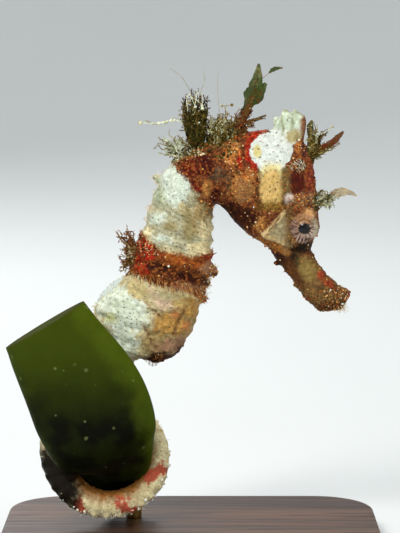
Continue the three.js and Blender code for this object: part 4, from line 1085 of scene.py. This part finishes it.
# Each clump: its foot and the spread of the feet, its finish, how many times each stem is repeated with
# changes, its twigs and their length, the tones of its stems, and the places that the stems lead to.
GROWTHS = {
    "tuft_neck": ((0.6, 0, 82.0), 1.9, weed, 9, 18, 1.1, (0.0, 0.45), [
        [(0.2, -0.4, 85.4), (-1.0, -0.6, 89.0), (-0.8, -0.4, 92.4)],
        [(1.6, 0.6, 86.4), (1.8, 1.0, 90.0), (1.8, 1.0, 92.8)],
        [(-0.8, 0.9, 85.6), (-1.4, 1.2, 88.4), (-1.6, 1.0, 91.4)],
        [(0.6, -1.2, 86.0), (0.4, -1.4, 89.4), (0.2, -0.8, 92.6)],
        [(2.2, -1.0, 85.6), (2.6, -1.0, 88.2), (2.2, -0.6, 91.0)],
        [(0.2, 0.4, 86.4), (0.4, 0.6, 90.0), (0.4, 0.4, 93.6)],
        [(-0.4, -1.4, 84.8), (-1.4, -1.4, 87.2), (-1.6, -1.2, 89.6)],
        [(1.2, -0.8, 86.8), (1.4, -0.6, 90.6), (1.2, -0.4, 93.0)],
        [(2.2, 0.4, 86.0), (3.4, 0.6, 88.8), (3.2, 0.4, 91.4)],
        [(1.8, -1.2, 86.4), (3.1, -1.4, 89.4), (2.6, -1.0, 92.0)]]),
    "tuft_shoulder": ((-2.2, 0, 80.4), 1.5, weed_pale, 7, 12, 0.8, (0.3, 0.95), [
        [(-3.8, -0.8, 81.8), (-5.4, -1.0, 82.8), (-6.8, -1.2, 83.8)],
        [(-4.2, 0.4, 81.2), (-5.4, 0.6, 81.6), (-6.8, 0.8, 82.0)],
        [(-3.0, 1.2, 82.2), (-3.8, 1.4, 83.6), (-4.4, 1.4, 84.8)],
        [(-3.2, -1.8, 81.2), (-4.4, -2.2, 82.6), (-5.0, -2.2, 83.6)],
        [(-1.8, -1.8, 82.0), (-2.0, -2.2, 83.2), (-2.8, -2.0, 84.4)],
        [(-4.2, -1.4, 80.2), (-5.4, -1.8, 80.4), (-6.6, -1.8, 80.8)]]),
    "tuft_nape": ((5.8, 0, 83.0), 2.8, weed, 13, 11, 0.8, (0.3, 0.75), [
        [(4.8, -1.0, 85.0), (4.2, -1.2, 86.4), (3.8, -1.4, 87.6)],
        [(6.0, 0.8, 85.4), (6.0, 0.8, 87.0), (6.0, 1.0, 88.4)],
        [(7.2, -0.8, 85.2), (7.6, -1.0, 87.0), (7.2, -1.0, 88.4)],
        [(7.8, 1.0, 84.8), (8.4, 1.2, 85.8), (8.8, 1.4, 86.8)],
        [(5.6, -1.8, 84.8), (5.4, -2.2, 86.0), (6.0, -2.0, 87.2)],
        [(4.0, 0.6, 84.4), (3.6, 0.8, 86.0), (4.0, 0.8, 87.2)]]),
    "frond_nape": ((9.8, 0, 84.4), 0.9, weed_red, 5, 14, 0.8, (0.15, 0.6), [
        [(9.4, 0, 86.6), (11.0, 0.2, 89.4), (12.6, 0.2, 92.6), (13.4, 0, 96.4)],
        [(10.0, 0.4, 87.4), (12.4, 0.2, 91.4), (13.4, 0, 94.2)],
        [(9.8, -0.4, 86.4), (11.4, -0.4, 89.4), (12.8, -0.4, 92.2)],
        [(8.8, 0.2, 85.8), (9.2, 0.4, 87.6), (10.6, 0.2, 88.8)],
        [(11.0, -0.4, 86.0), (12.8, -0.6, 86.9), (14.6, -0.6, 87.8)]]),
    "tuft_forehead": ((23.8, 0, 80.0), 1.0, weed, 9, 12, 0.8, (0.15, 0.7), [
        [(23.8, -0.8, 82.6), (23.6, -1.0, 84.8), (23.8, -1.2, 87.0)],
        [(25.6, 0, 81.0), (28.0, 0.2, 82.4), (30.0, 0.2, 84.6)],
        [(25.0, 0.8, 82.0), (26.0, 1.0, 83.6), (27.4, 1.0, 84.8)],
        [(24.6, -0.8, 82.0), (24.8, -1.0, 83.8), (25.0, -1.0, 85.4)],
        [(26.0, -0.4, 80.6), (27.6, -0.4, 81.4), (29.4, -0.2, 82.8)],
        [(24.2, 0.6, 81.8), (24.4, 0.8, 84.0), (24.2, 0.8, 86.0)]]),
    "frond_brow_right": ((24.9, -1.6, 70.6), 0.9, weed_pale, 8, 9, 0.7, (0.15, 0.8), [
        [(26.2, -1.9, 70.8), (28.0, -2.1, 71.4), (29.6, -2.3, 72.0)],
        [(26.2, -2.3, 71.4), (26.6, -2.4, 72.2), (26.9, -2.6, 73.0)],
        [(26.4, -2.3, 70.4), (27.4, -2.5, 70.0), (28.2, -2.6, 69.8)],
        [(26.4, -1.4, 71.2), (27.6, -1.4, 72.0), (28.4, -1.6, 72.8)]]),
    "frond_brow_left": ((24.9, 1.6, 70.6), 0.9, weed_pale, 8, 9, 0.7, (0.15, 0.8), [
        [(26.0, 1.9, 70.8), (27.5, 2.1, 71.4), (29.0, 2.3, 72.2)],
        [(26.0, 2.3, 71.4), (26.3, 2.4, 72.4), (26.5, 2.6, 73.2)],
        [(26.2, 2.3, 70.4), (27.2, 2.5, 70.0), (27.8, 2.6, 69.8)]]),
    "growth_back": ((-11.6, 0, 60.4), 2.8, weed_red, 9, 10, 0.7, (0.25, 0.75), [
        [(-12.6, -0.6, 62.4), (-13.8, -0.8, 64.0), (-14.8, -0.8, 65.0)],
        [(-12.2, 0.8, 62.6), (-12.6, 1.0, 64.0), (-13.0, 1.0, 65.2)],
        [(-13.0, 0, 59.4), (-13.8, 0, 58.4), (-14.1, 0, 57.4)],
        [(-12.4, -1.2, 61.4), (-12.6, -1.6, 62.6), (-12.4, -1.4, 63.8)],
        [(-12.8, 0.6, 60.2), (-13.6, 0.6, 59.8), (-14.2, 0.4, 60.4)],
        [(-12.8, -0.8, 58.2), (-13.4, -1.2, 57.4), (-13.6, -1.2, 56.8)]]),
}

# Threads that reach out of the clumps: the radius, the tone, how many beads and the places they lead to.
THREADS = {
    "tuft_neck": [
        (0.14, 0.95, 16, [(-0.6, 0, 85.6), (-3.0, -0.3, 86.8), (-6.6, -0.3, 86.2), (-10.0, 0, 86.3)]),
        (0.07, 0.8, 8, [(-0.8, 0.2, 86.2), (-3.4, 0, 87.3), (-5.6, 0.1, 85.8), (-9.2, -0.2, 86.8)]),
        (0.045, 0.7, 2, [(0.0, 0, 92.4), (-1.4, 0, 94.8), (-2.6, 0, 96.0), (-4.2, 0, 97.1)]),
        (0.04, 0.7, 2, [(1.6, 0, 91.4), (2.2, 0, 93.2), (2.8, 0, 94.8), (2.4, 0, 96.5)]),
        (0.11, 0.95, 3, [(-0.6, -1.6, 88.8), (-0.8, -2.7, 91.2), (-0.1, -2.9, 92.1), (0.3, -2.8, 91.0),
                         (0.9, -2.0, 89.6)]),
        (0.11, 0.95, 3, [(0.5, -1.6, 88.8), (1.0, -2.8, 90.8), (1.2, -3.0, 92.2), (2.1, -2.9, 92.0),
                         (2.3, -2.0, 89.2)]),
        (0.09, 0.85, 2, [(-1.0, -1.6, 89.6), (0.2, -2.8, 91.2), (1.6, -2.9, 90.6), (2.2, -2.0, 89.8)])],
    "tuft_nape": [
        (0.04, 0.7, 4, [(5.8, 0, 86.6), (5.5, 0, 90.0), (5.3, 0, 93.4), (5.4, 0, 96.5)]),
        (0.09, 0.7, 5, [(6.4, -0.8, 86.0), (6.9, -1.0, 88.2), (6.9, -1.0, 89.6), (8.1, -1.0, 89.9)]),
        (0.08, 0.7, 3, [(6.8, -0.8, 89.0), (6.6, -0.9, 89.8), (6.1, -1.0, 89.7)])],
    "frond_nape": [
        (0.05, 0.5, 2, [(13.2, 0, 94.0), (15.0, 0, 95.8), (16.2, 0, 96.4), (17.8, 0, 97.1)])],
    "tuft_forehead": [
        (0.08, 0.8, 7, [(24.2, -0.6, 82.4), (25.4, -0.9, 84.0), (26.8, -0.9, 84.6), (28.0, -0.9, 85.6)])],
    "growth_back": [
        (0.06, 0.6, 3, [(-11.8, -0.6, 62.0), (-12.4, -0.9, 64.4), (-12.8, -0.9, 66.0)])],
}

# Leaves: thin wavy blades, each with the places it leads to, its half widths along them and its tone.
LEAVES = {
    "frond_nape": [
        ([(8.6, 0.2, 84.8), (10.4, 0.3, 88.0), (11.8, 0.2, 90.8), (13.0, 0, 93.4), (13.4, 0, 98.0)],
         (0.5, 0.7, 0.9, 1.9, 1.3, 0.2), 0.2),
        ([(9.6, -0.5, 85.4), (11.0, -0.5, 88.6), (12.6, -0.4, 91.0), (14.8, -0.3, 94.2)],
         (0.3, 0.6, 0.6, 1.3, 0.3), 0.05),
        ([(10.6, -0.6, 86.4), (12.4, -0.7, 86.8), (14.8, -0.8, 87.9)], (0.2, 0.45, 0.3, 0.1), 0.0),
        ([(15.4, 0, 96.2), (16.6, 0, 97.0), (18.2, 0, 97.2)], (0.1, 0.4, 0.3, 0.1), 0.3)],
    "tuft_forehead": [
        ([(23.6, -0.5, 79.8), (26.2, -0.6, 81.4), (28.4, -0.6, 82.8), (30.2, -0.6, 84.6)],
         (0.5, 0.6, 0.55, 0.6, 0.2), -0.15),
        ([(23.4, 0.4, 80.4), (23.8, 0.5, 82.6), (23.6, 0.5, 85.0), (24.0, 0.4, 86.8)],
         (0.4, 0.6, 0.5, 0.6, 0.2), 0.2)],
    "frond_brow_right": [
        ([(28.4, -2.2, 71.6), (29.8, -2.3, 72.5), (31.4, -2.4, 72.7), (32.8, -2.4, 72.0)],
         (0.2, 0.55, 0.6, 0.45, 0.1), 0.85)],
    "frond_brow_left": [
        ([(27.8, 2.2, 71.6), (29.2, 2.3, 72.5), (30.8, 2.4, 72.7), (32.0, 2.4, 72.2)],
         (0.2, 0.5, 0.55, 0.4, 0.1), 0.85)],
}
leaf_skin = growth_finish("leaf_skin", [
    (106, 44, 18), (96, 62, 24), (62, 72, 28), (66, 82, 36), (122, 114, 68), (154, 136, 100),
    (178, 166, 136)], 0.5)
leaf_skin.node_tree.nodes["Principled BSDF"].inputs["Alpha"].default_value = 0.82


def blade(blades, points, widths, tone, patch):
    """A thin leaf along the points with wavy edges, a little redder at its foot than at its tip."""
    made = bmesh.ops.create_grid(blades, x_segments=44, y_segments=8, size=0.5)["verts"]
    flat = np.array([vert.co for vert in made])
    share, across = flat[:, 0] + 0.5, flat[:, 1] * 2
    line = curve(np.array(points), share)
    ahead = unit(curve(np.array(points), share + 1e-3) - curve(np.array(points), share - 1e-3))
    side = unit(np.cross(ahead, (0.3, 1.0, 0.2)))
    reach = curve(np.array(widths)[:, None], share)[:, 0]
    reach *= 1 + 0.08 * np.sin(23 * share + 1.5 * across) + 0.06 * np.sin(51 * share - across)
    lift = 0.3 * reach * (across**2 * np.sin(13 * share + across) + 0.5 * np.sin(7 * share))
    place = line + side * (reach * across)[:, None] + np.cross(side, ahead) * lift[:, None]
    tone_layer = blades.verts.layers.float["tone"]
    bake = blades.loops.layers.uv["OFBake"]
    for vert, spot, along, over in zip(made, place, share, across):
        vert.co = spot
        vert[tone_layer] = tone + 0.35 * along
        for loop in vert.link_loops:
            loop[bake].uv = (patch[0] + BAKE_PATCH * along, patch[1] + BAKE_PATCH / 2 * (1 + over))


def clump(name, foot, spread, finish, repeats, twigs, reach, tones, stems):
    strands, beads, taken = [], [], set()
    for points in stems:
        for number in range(repeats):
            root = surface.find_nearest(Vector(foot) + any_way() * spread * rng.random())[0]
            shift = root - Vector(foot)
            grow = 1.0 if number == 0 else rng.uniform(0.45, 1.0)
            line = [root - Vector((0, 0, 0.2))]
            for k, spot in enumerate(points):
                stay = 1 - 0.6 * (k + 1) / len(points)
                line.append(Vector(foot) + (Vector(spot) - Vector(foot)) * grow + shift * stay)
            patch = bake_patch(taken, root)
            frond(strands, beads, line, rng.uniform(*STEM_RADII), rng.uniform(*tones), patch,
                  round(twigs * grow), reach)
    for radius, tone, knots, points in THREADS.get(name, []):
        filament(strands, beads, points, radius, tone, bake_patch(taken, points[0]), knots)
    for _ in range(round(150 * spread)):
        root = surface.find_nearest(Vector(foot) + any_way() * spread * 1.6)[0]
        size = 0.09 + 0.26 * rng.random() ** 2
        beads.append((root + any_way() * 0.1, size, rng.uniform(0.0, 0.6), bake_patch(taken, root)))
    grown(name + "_weed", strands, beads, finish, name)
    if name in LEAVES:
        blades = bmesh.new()
        blades.verts.layers.float.new("tone")
        blades.loops.layers.uv.new("OFBake")
        for points, widths, tone in LEAVES[name]:
            blade(blades, points, widths, tone, bake_patch(taken, points[0]))
        leaf = piece(name + "_leaf", blades, leaf_skin)
        thicken(leaf, LEAF_THICKNESS)
        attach(leaf, "root")


for name, row in GROWTHS.items():
    clump(name, *row)

# ---- Grit: grains, beads and hairs that crust the skin ----
# Sand-sized grains and polyp-like beads stuck to the rough dark skin, the saddle and the outside of the
# tail, and short soft hairs along the back, the saddle's edges, the belly's edge and the tail.
grit = growth_finish("grit_paint", [
    (70, 28, 12), (118, 48, 22), (156, 78, 32), (188, 120, 54), (214, 168, 98), (232, 212, 168),
    (236, 236, 222)], 0.5)
chance = np.random.default_rng(11)
picked_up = np.array([tuple(vert.co * 1000) for vert in skin.data.vertices])
facing = np.array([tuple(vert.normal) for vert in skin.data.vertices])
clear_of_eye = swell(from_eye, 2.6, 3.4) + (1 - on_orbit)
tail_back = on_tail * swell(-np.abs(turn), -1.5, -0.4)
loop_back = swell(distance, TAIL_START + 32, TAIL_START + 38)
loop_back *= 1 - swell(distance, TAIL_START + 56, TAIL_START + 60)
loop_back *= swell(-np.abs(turn), -1.3, -0.5)
brow_ridge = swell(blot((24.6, 70.6, 1.5, 1.8, 20), (22.2, 71.2, 2.4, 0.8, 0)), -0.3, 0.3) * on_head


def scatter(density, number):
    weight = np.clip(density, 0, None) * np.minimum(clear_of_eye, 1)
    return chance.choice(count, size=number, replace=False, p=weight / weight.sum())


def grains(density, number, small, large, low, high):
    """Grains half sunk in the skin where it is thick with them: the range of sizes and of tones."""
    found = []
    for i in scatter(density, number):
        radius = small + (large - small) * chance.random() ** 2.2
        place = Vector(picked_up[i] + facing[i] * radius * 0.35)
        found.append((place, radius, low + (high - low) * chance.random(), bake_patch(taken, place)))
    return found


taken = set()
pink_tip = swell(blot((4.2, 57.0, 1.6, 1.4, 0), (2.6, 52.4, 0.8, 2.6, -10)), -0.4, 0.4)
shoulder = swell(blot((0.4, 81.0, 2.2, 1.2, 0), (-2.2, 79.8, 1.4, 1.0, 40)), -0.4, 0.4)
rough_places = pebbly * (0.15 + glints_and_grains) * (1 - on_trunk * swell(-in_band, 0.0, 0.5)) * (1 - 0.5 * on_trunk)
stuck = grains(rough_places, 800, 0.08, 0.28, 0.0, 0.65)
stuck += grains(pebbly * glints_and_grains**2, 360, 0.07, 0.18, 0.5, 0.9)
stuck += grains(tail_back, 60, 0.10, 0.30, 0.7, 1.2)
stuck += grains(loop_back, 130, 0.10, 0.32, 0.85, 1.2)
stuck += grains(brow_ridge, 90, 0.10, 0.28, 0.25, 0.75)
stuck += grains(pink_tip, 110, 0.10, 0.26, 0.45, 0.9)
stuck += grains(shoulder, 90, 0.10, 0.28, 0.6, 1.0)

# Single pale beads on both sides of the throat, the crown, the saddle and the lip: x, z, radius, tone.
for bead_x, bead_z, radius, bead_tone in [
    (12.4, 69.9, 0.17, 1.0), (12.8, 66.9, 0.22, 0.85), (11.2, 68.1, 0.15, 0.8), (10.2, 73.4, 0.15, 0.9),
    (-9.0, 62.5, 0.18, 0.8), (-8.6, 61.5, 0.16, 0.9), (-7.2, 60.9, 0.15, 0.7), (-4.4, 58.4, 0.24, 1.0),
    (30.2, 50.4, 0.3, 1.05), (13.0, 72.0, 0.14, 0.8), (21.4, 83.0, 0.3, 0.85), (27.8, 53.2, 0.2, 1.0),
    (5.0, 57.6, 0.3, 0.8), (4.6, 58.6, 0.22, 0.7),
]:
    for side in (-1, 1):
        spot = surface.ray_cast(Vector((bead_x, side * 30, bead_z)), Vector((0, -side, 0)))[0]
        if spot:
            stuck.append((spot, radius, bead_tone, bake_patch(taken, spot)))
grown("skin_grains", [], stuck, grit)

hairs, tips, taken = [], [], set()
keel = swell(blot((2.8, 53.0, 1.2, 2.8, -10), (4.6, 56.6, 1.0, 1.2, 0)), -0.4, 0.4)
comb = swell(blot((21.2, 77.8, 1.4, 1.2, 0)), -0.3, 0.3) * swell(flank, 1.5, 2.5)
lip = swell(blot((30.2, 49.6, 1.2, 0.8, 0)), -0.3, 0.3)
upper_back = on_trunk * swell(-np.abs(turn), -0.5, -0.1)
saddle_foot = on_trunk * swell(-np.abs(z - band_low - 0.5), -1.3, -0.5)
saddle_top = on_trunk * swell(-np.abs(z - band_top), -0.6, -0.2)
for density, number, short, long, low, high, lean in [
    (upper_back, 170, 0.3, 1.0, 0.6, 1.0, (0, 0, 0)), (keel, 90, 0.4, 1.3, 0.5, 0.9, (0, 0, 0)),
    (tail_back, 120, 0.2, 0.8, 0.8, 1.1, (0, 0, 0)),
    (comb, 80, 0.5, 1.4, 0.7, 1.1, (-0.9, 0, 0.6)), (lip, 40, 0.5, 1.6, 0.6, 1.0, (0, 0, -0.8)),
    (pebbly, 320, 0.2, 0.6, 0.1, 0.8, (0, 0, 0)), (shoulder, 110, 0.5, 1.4, 0.6, 1.0, (0, 0, 0)),
    (saddle_foot, 460, 0.5, 1.6, 0.0, 0.65, (0.5, 0, -1.8)),
    (saddle_top, 200, 0.3, 0.9, 0.1, 0.7, (-0.2, 0, 1.0)),
]:
    for i in scatter(density, number):
        root, length = Vector(picked_up[i]), short + (long - short) * chance.random() ** 2
        aim = (Vector(facing[i]) + any_way() * 0.55 + Vector(lean)).normalized()
        bend = root + aim * length * 0.5 + any_way() * 0.1 * length
        tip = root + aim * length + any_way() * 0.2 * length
        tone, patch = low + (high - low) * chance.random(), bake_patch(taken, root)
        strand(hairs, [root - aim * 0.1, bend, tip], 0.07, 0.03, tone, patch, 0.35)
        if chance.random() < 0.2:
            tips.append((root + aim * length, 0.09, tone + 0.15, patch))
grown("skin_hairs", hairs, tips, grit)

# ---- Perch: a cut length of seaweed stalk ----
# A fleshy, smooth green lobe on a narrower stem, thin at its edges and cut square at the top. Its colour
# holds painted light: near-black painted shade in the middle, a painted bright rim at its edges, brighter on
# the right, and a painted lighter top. The tail grips the stem, and the stand's rod is pushed up into its
# foot.
STALK = [
    (-12.2, 5.6, 7.8, 4.8, 3.2), (-13.6, 5.4, 11.0, 5.6, 3.0), (-16.5, 2.2, 15.2, 6.6, 2.7),
    (-16.0, -3.4, 18.6, 8.6, 2.7), (-17.4, -7.8, 22.6, 10.8, 3.3), (-19.2, -8.8, 29.4, 11.9, 4.0),
    (-22.4, -9.8, 36.4, 11.2, 4.0), (-26.2, -10.4, 43.4, 9.8, 3.8), (-28.6, -10.6, 47.4, 9.0, 3.6),
]
STALK_LINE = np.array(STALK)[:, :3]
CORE_POINTS = 120


def stalk_point(row, turn):
    """The lobe's sheath bends without a crease: each place is the mean of seven rings along it."""
    closing = 1 - 0.94 * np.clip((np.abs(row - 0.5) - 0.48) / 0.02, 0, 1)
    inner = np.clip((row - 0.02) / 0.96, 0, 1)
    reach = 0.2 * inner * (1 - inner)
    places = [stalk_ring(inner + step * reach, turn, closing) for step in np.linspace(-1, 1, 7)]
    return np.mean(places, axis=0)


def stalk_ring(inner, turn, closing):
    line = curve(STALK_LINE, inner)
    ahead = unit(curve(STALK_LINE, inner + 1e-3) - curve(STALK_LINE, inner - 1e-3))
    side = unit(np.cross((0, -1, 0), ahead))
    thick = np.cross(ahead, side)
    size = curve(np.array(STALK)[:, 3:], inner) - 0.05
    wave = 1 + 0.012 * np.sin(3 * turn + 9 * inner) + 0.01 * np.sin(23 * inner + turn)
    reach = np.stack([size[:, 0] * np.cos(turn), size[:, 1] * np.sin(turn)], axis=1)
    reach *= (closing * wave)[:, None]
    return line + side * reach[:, :1] + thick * reach[:, 1:]


stalk = rolled(150, 72, stalk_point)
# Painted rim light: the margin grows from the lobe's middle to its edges, scaled by 0.7 on its left side, so
# the rim is brightest on the right.
margin = stalk.verts.layers.float.new("margin")
core = finder_of([Vector(p) for p in curve(STALK_LINE, np.linspace(0, 1, CORE_POINTS))])
stalk_widths = [row[3] for row in STALK]
for vert in stalk.verts:
    spot, number, away = core.find(vert.co)
    wide = float(np.interp(number / (CORE_POINTS - 1), np.linspace(0, 1, len(STALK)), stalk_widths))
    vert[margin] = away / wide * (1.0 if vert.co.x > spot.x else 0.7)
cut = stalk.verts.layers.float.new("cut")
top = Vector(STALK[-1][:3])
upwards = (top - Vector(STALK[-2][:3])).normalized()
for vert in stalk.verts:
    vert[cut] = min(1.0, max(0.0, ((vert.co - top).dot(upwards) + 0.12) * 10))
stalk_finish, tree, shader = new_finish("stalk_flesh", 0.42)
edge = marking("margin")
# Painted light: near-black green for the shade in the lobe's middle, a brighter olive for the rim light at
# its edges, and a lighter green for the lit upper part.
green = blend(tree, between(tree, grain(tree, 6.0, 4.0), 0.4, 0.62), paint(9, 11, 3), paint(22, 27, 4))
cloudy_edge = maths(tree, "MULTIPLY_ADD", maths(tree, "SUBTRACT", grain(tree, 4.0, 3.0), 0.5), 0.5, edge)
green = blend(tree, between(tree, cloudy_edge, 0.6, 1.0), green, paint(62, 74, 8))
up_high = add(tree, "ShaderNodeSeparateXYZ", {"Vector": on_object(tree)}).outputs[2]
lit_top = between(tree, up_high, 0.026, 0.046, 0.0, 0.5)
green = blend(tree, lit_top, green, paint(76, 90, 10))
green = blend(tree, marking("cut"), green, paint(58, 62, 26))
from_pock, pock_tints = scattered(tree, {"Vector": on_object(tree), "Scale": 540.0})
patchy = between(tree, grain(tree, 9.0, 3.0, 0.6, 0.02), 0.40, 0.56)
pock_size = maths(tree, "MULTIPLY", between(tree, pock_tints[0], 0.4, 1.0, 0.0, 0.40), patchy)
pale_pock = maths(tree, "MULTIPLY", between(tree, from_pock, pock_size, 0.0), 0.6)
green = blend(tree, pale_pock, green, paint(128, 136, 84))
feed(tree, shader, {
    "Base Color": green, "Normal": bumps(tree, grain(tree, 1.2, 4.0), 0.0003, 0.35),
    "Roughness": maths(tree, "MULTIPLY_ADD", marking("cut"), 0.5, 0.45), "Specular IOR Level": 0.04,
    "Subsurface Weight": 0.15, "Subsurface Scale": 0.002,
})
lobe = piece("perch_stalk_lobe", stalk, stalk_finish)
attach(lobe, "root")
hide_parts("perch_stalk")

# ---- Stand: base and rod ----
# A plain block of dark wood with rounded corners and a softened edge, oiled to a satin, and a turned
# brass rod that is pressed into it and runs up into the stalk's foot.
BASE_LONG, BASE_WIDE, BASE_HIGH = 76, 50, 5
BASE_CORNER, BASE_EDGE = 12, 0.6
ROD_X, ROD_Y, ROD_LOW, ROD_HIGH, ROD_RADIUS = -11.8, 5.6, 5.05, 11.8, 1.6

base = bmesh.new()
middle_of_base = Matrix.Translation((0, 0, BASE_HIGH / 2))
bmesh.ops.create_cube(base, size=1.0,
                      matrix=middle_of_base @ Matrix.Diagonal((BASE_LONG, BASE_WIDE, BASE_HIGH, 1)))
upright = [edge for edge in base.edges if abs(edge.verts[0].co.z - edge.verts[1].co.z) > 1]
round_edges(base, upright, BASE_CORNER, 14)
flat_faces = [face for face in base.faces if abs(face.normal.z) > 0.9]
round_edges(base, list({edge for face in flat_faces for edge in face.edges}), BASE_EDGE, 4)
wood, tree, shader = new_finish("oiled_wood", 0.45)
stretched = add(tree, "ShaderNodeMapping", {"Vector": on_object(tree), "Scale": (0.06, 1.0, 1.0)}).outputs[0]
fibres = add(tree, "ShaderNodeTexNoise", {"Vector": stretched, "Scale": 900.0, "Detail": 5.0}).outputs[0]
broad = add(tree, "ShaderNodeTexNoise", {"Vector": stretched, "Scale": 160.0, "Detail": 3.0,
                                         "Distortion": 0.6}).outputs[0]
brown = blend(tree, between(tree, broad, 0.38, 0.62), paint(58, 36, 24), paint(94, 62, 40))
brown = blend(tree, between(tree, fibres, 0.5, 0.7), brown, paint(40, 25, 17))
feed(tree, shader, {"Base Color": brown, "Normal": bumps(tree, fibres, 0.0001, 0.4),
                    "Roughness": between(tree, fibres, 0.3, 0.7, 0.36, 0.52)})
block = piece("stand_base_block", base, wood)
block.data.shade_flat()
for polygon in block.data.polygons:
    polygon.use_smooth = abs(polygon.normal.z) < 0.98
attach(block, "root")
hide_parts("stand_base")

rod = bmesh.new()
middle_of_rod = Matrix.Translation((ROD_X, ROD_Y, (ROD_LOW + ROD_HIGH) / 2))
bmesh.ops.create_cone(rod, cap_ends=True, segments=48, radius1=ROD_RADIUS, radius2=ROD_RADIUS,
                      depth=ROD_HIGH - ROD_LOW, matrix=middle_of_rod)
rod_rims = [edge for edge in rod.edges if abs(edge.verts[0].co.z - edge.verts[1].co.z) < 0.01]
round_edges(rod, rod_rims, 0.12, 2)
brass, tree, shader = new_finish("satin_brass", 0.3)
rings_turned = add(tree, "ShaderNodeMapping", {"Vector": on_object(tree), "Scale": (0.05, 0.05, 1.0)})
turning = add(tree, "ShaderNodeTexNoise", {"Vector": rings_turned.outputs[0], "Scale": 6000.0}).outputs[0]
feed(tree, shader, {"Base Color": blend(tree, turning, paint(196, 158, 88), paint(168, 130, 66)),
                    "Roughness": between(tree, turning, 0.3, 0.7, 0.24, 0.4), "Metallic": 1.0})
pin = piece("stand_rod_pin", rod, brass)
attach(pin, "root")
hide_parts("stand_rod")
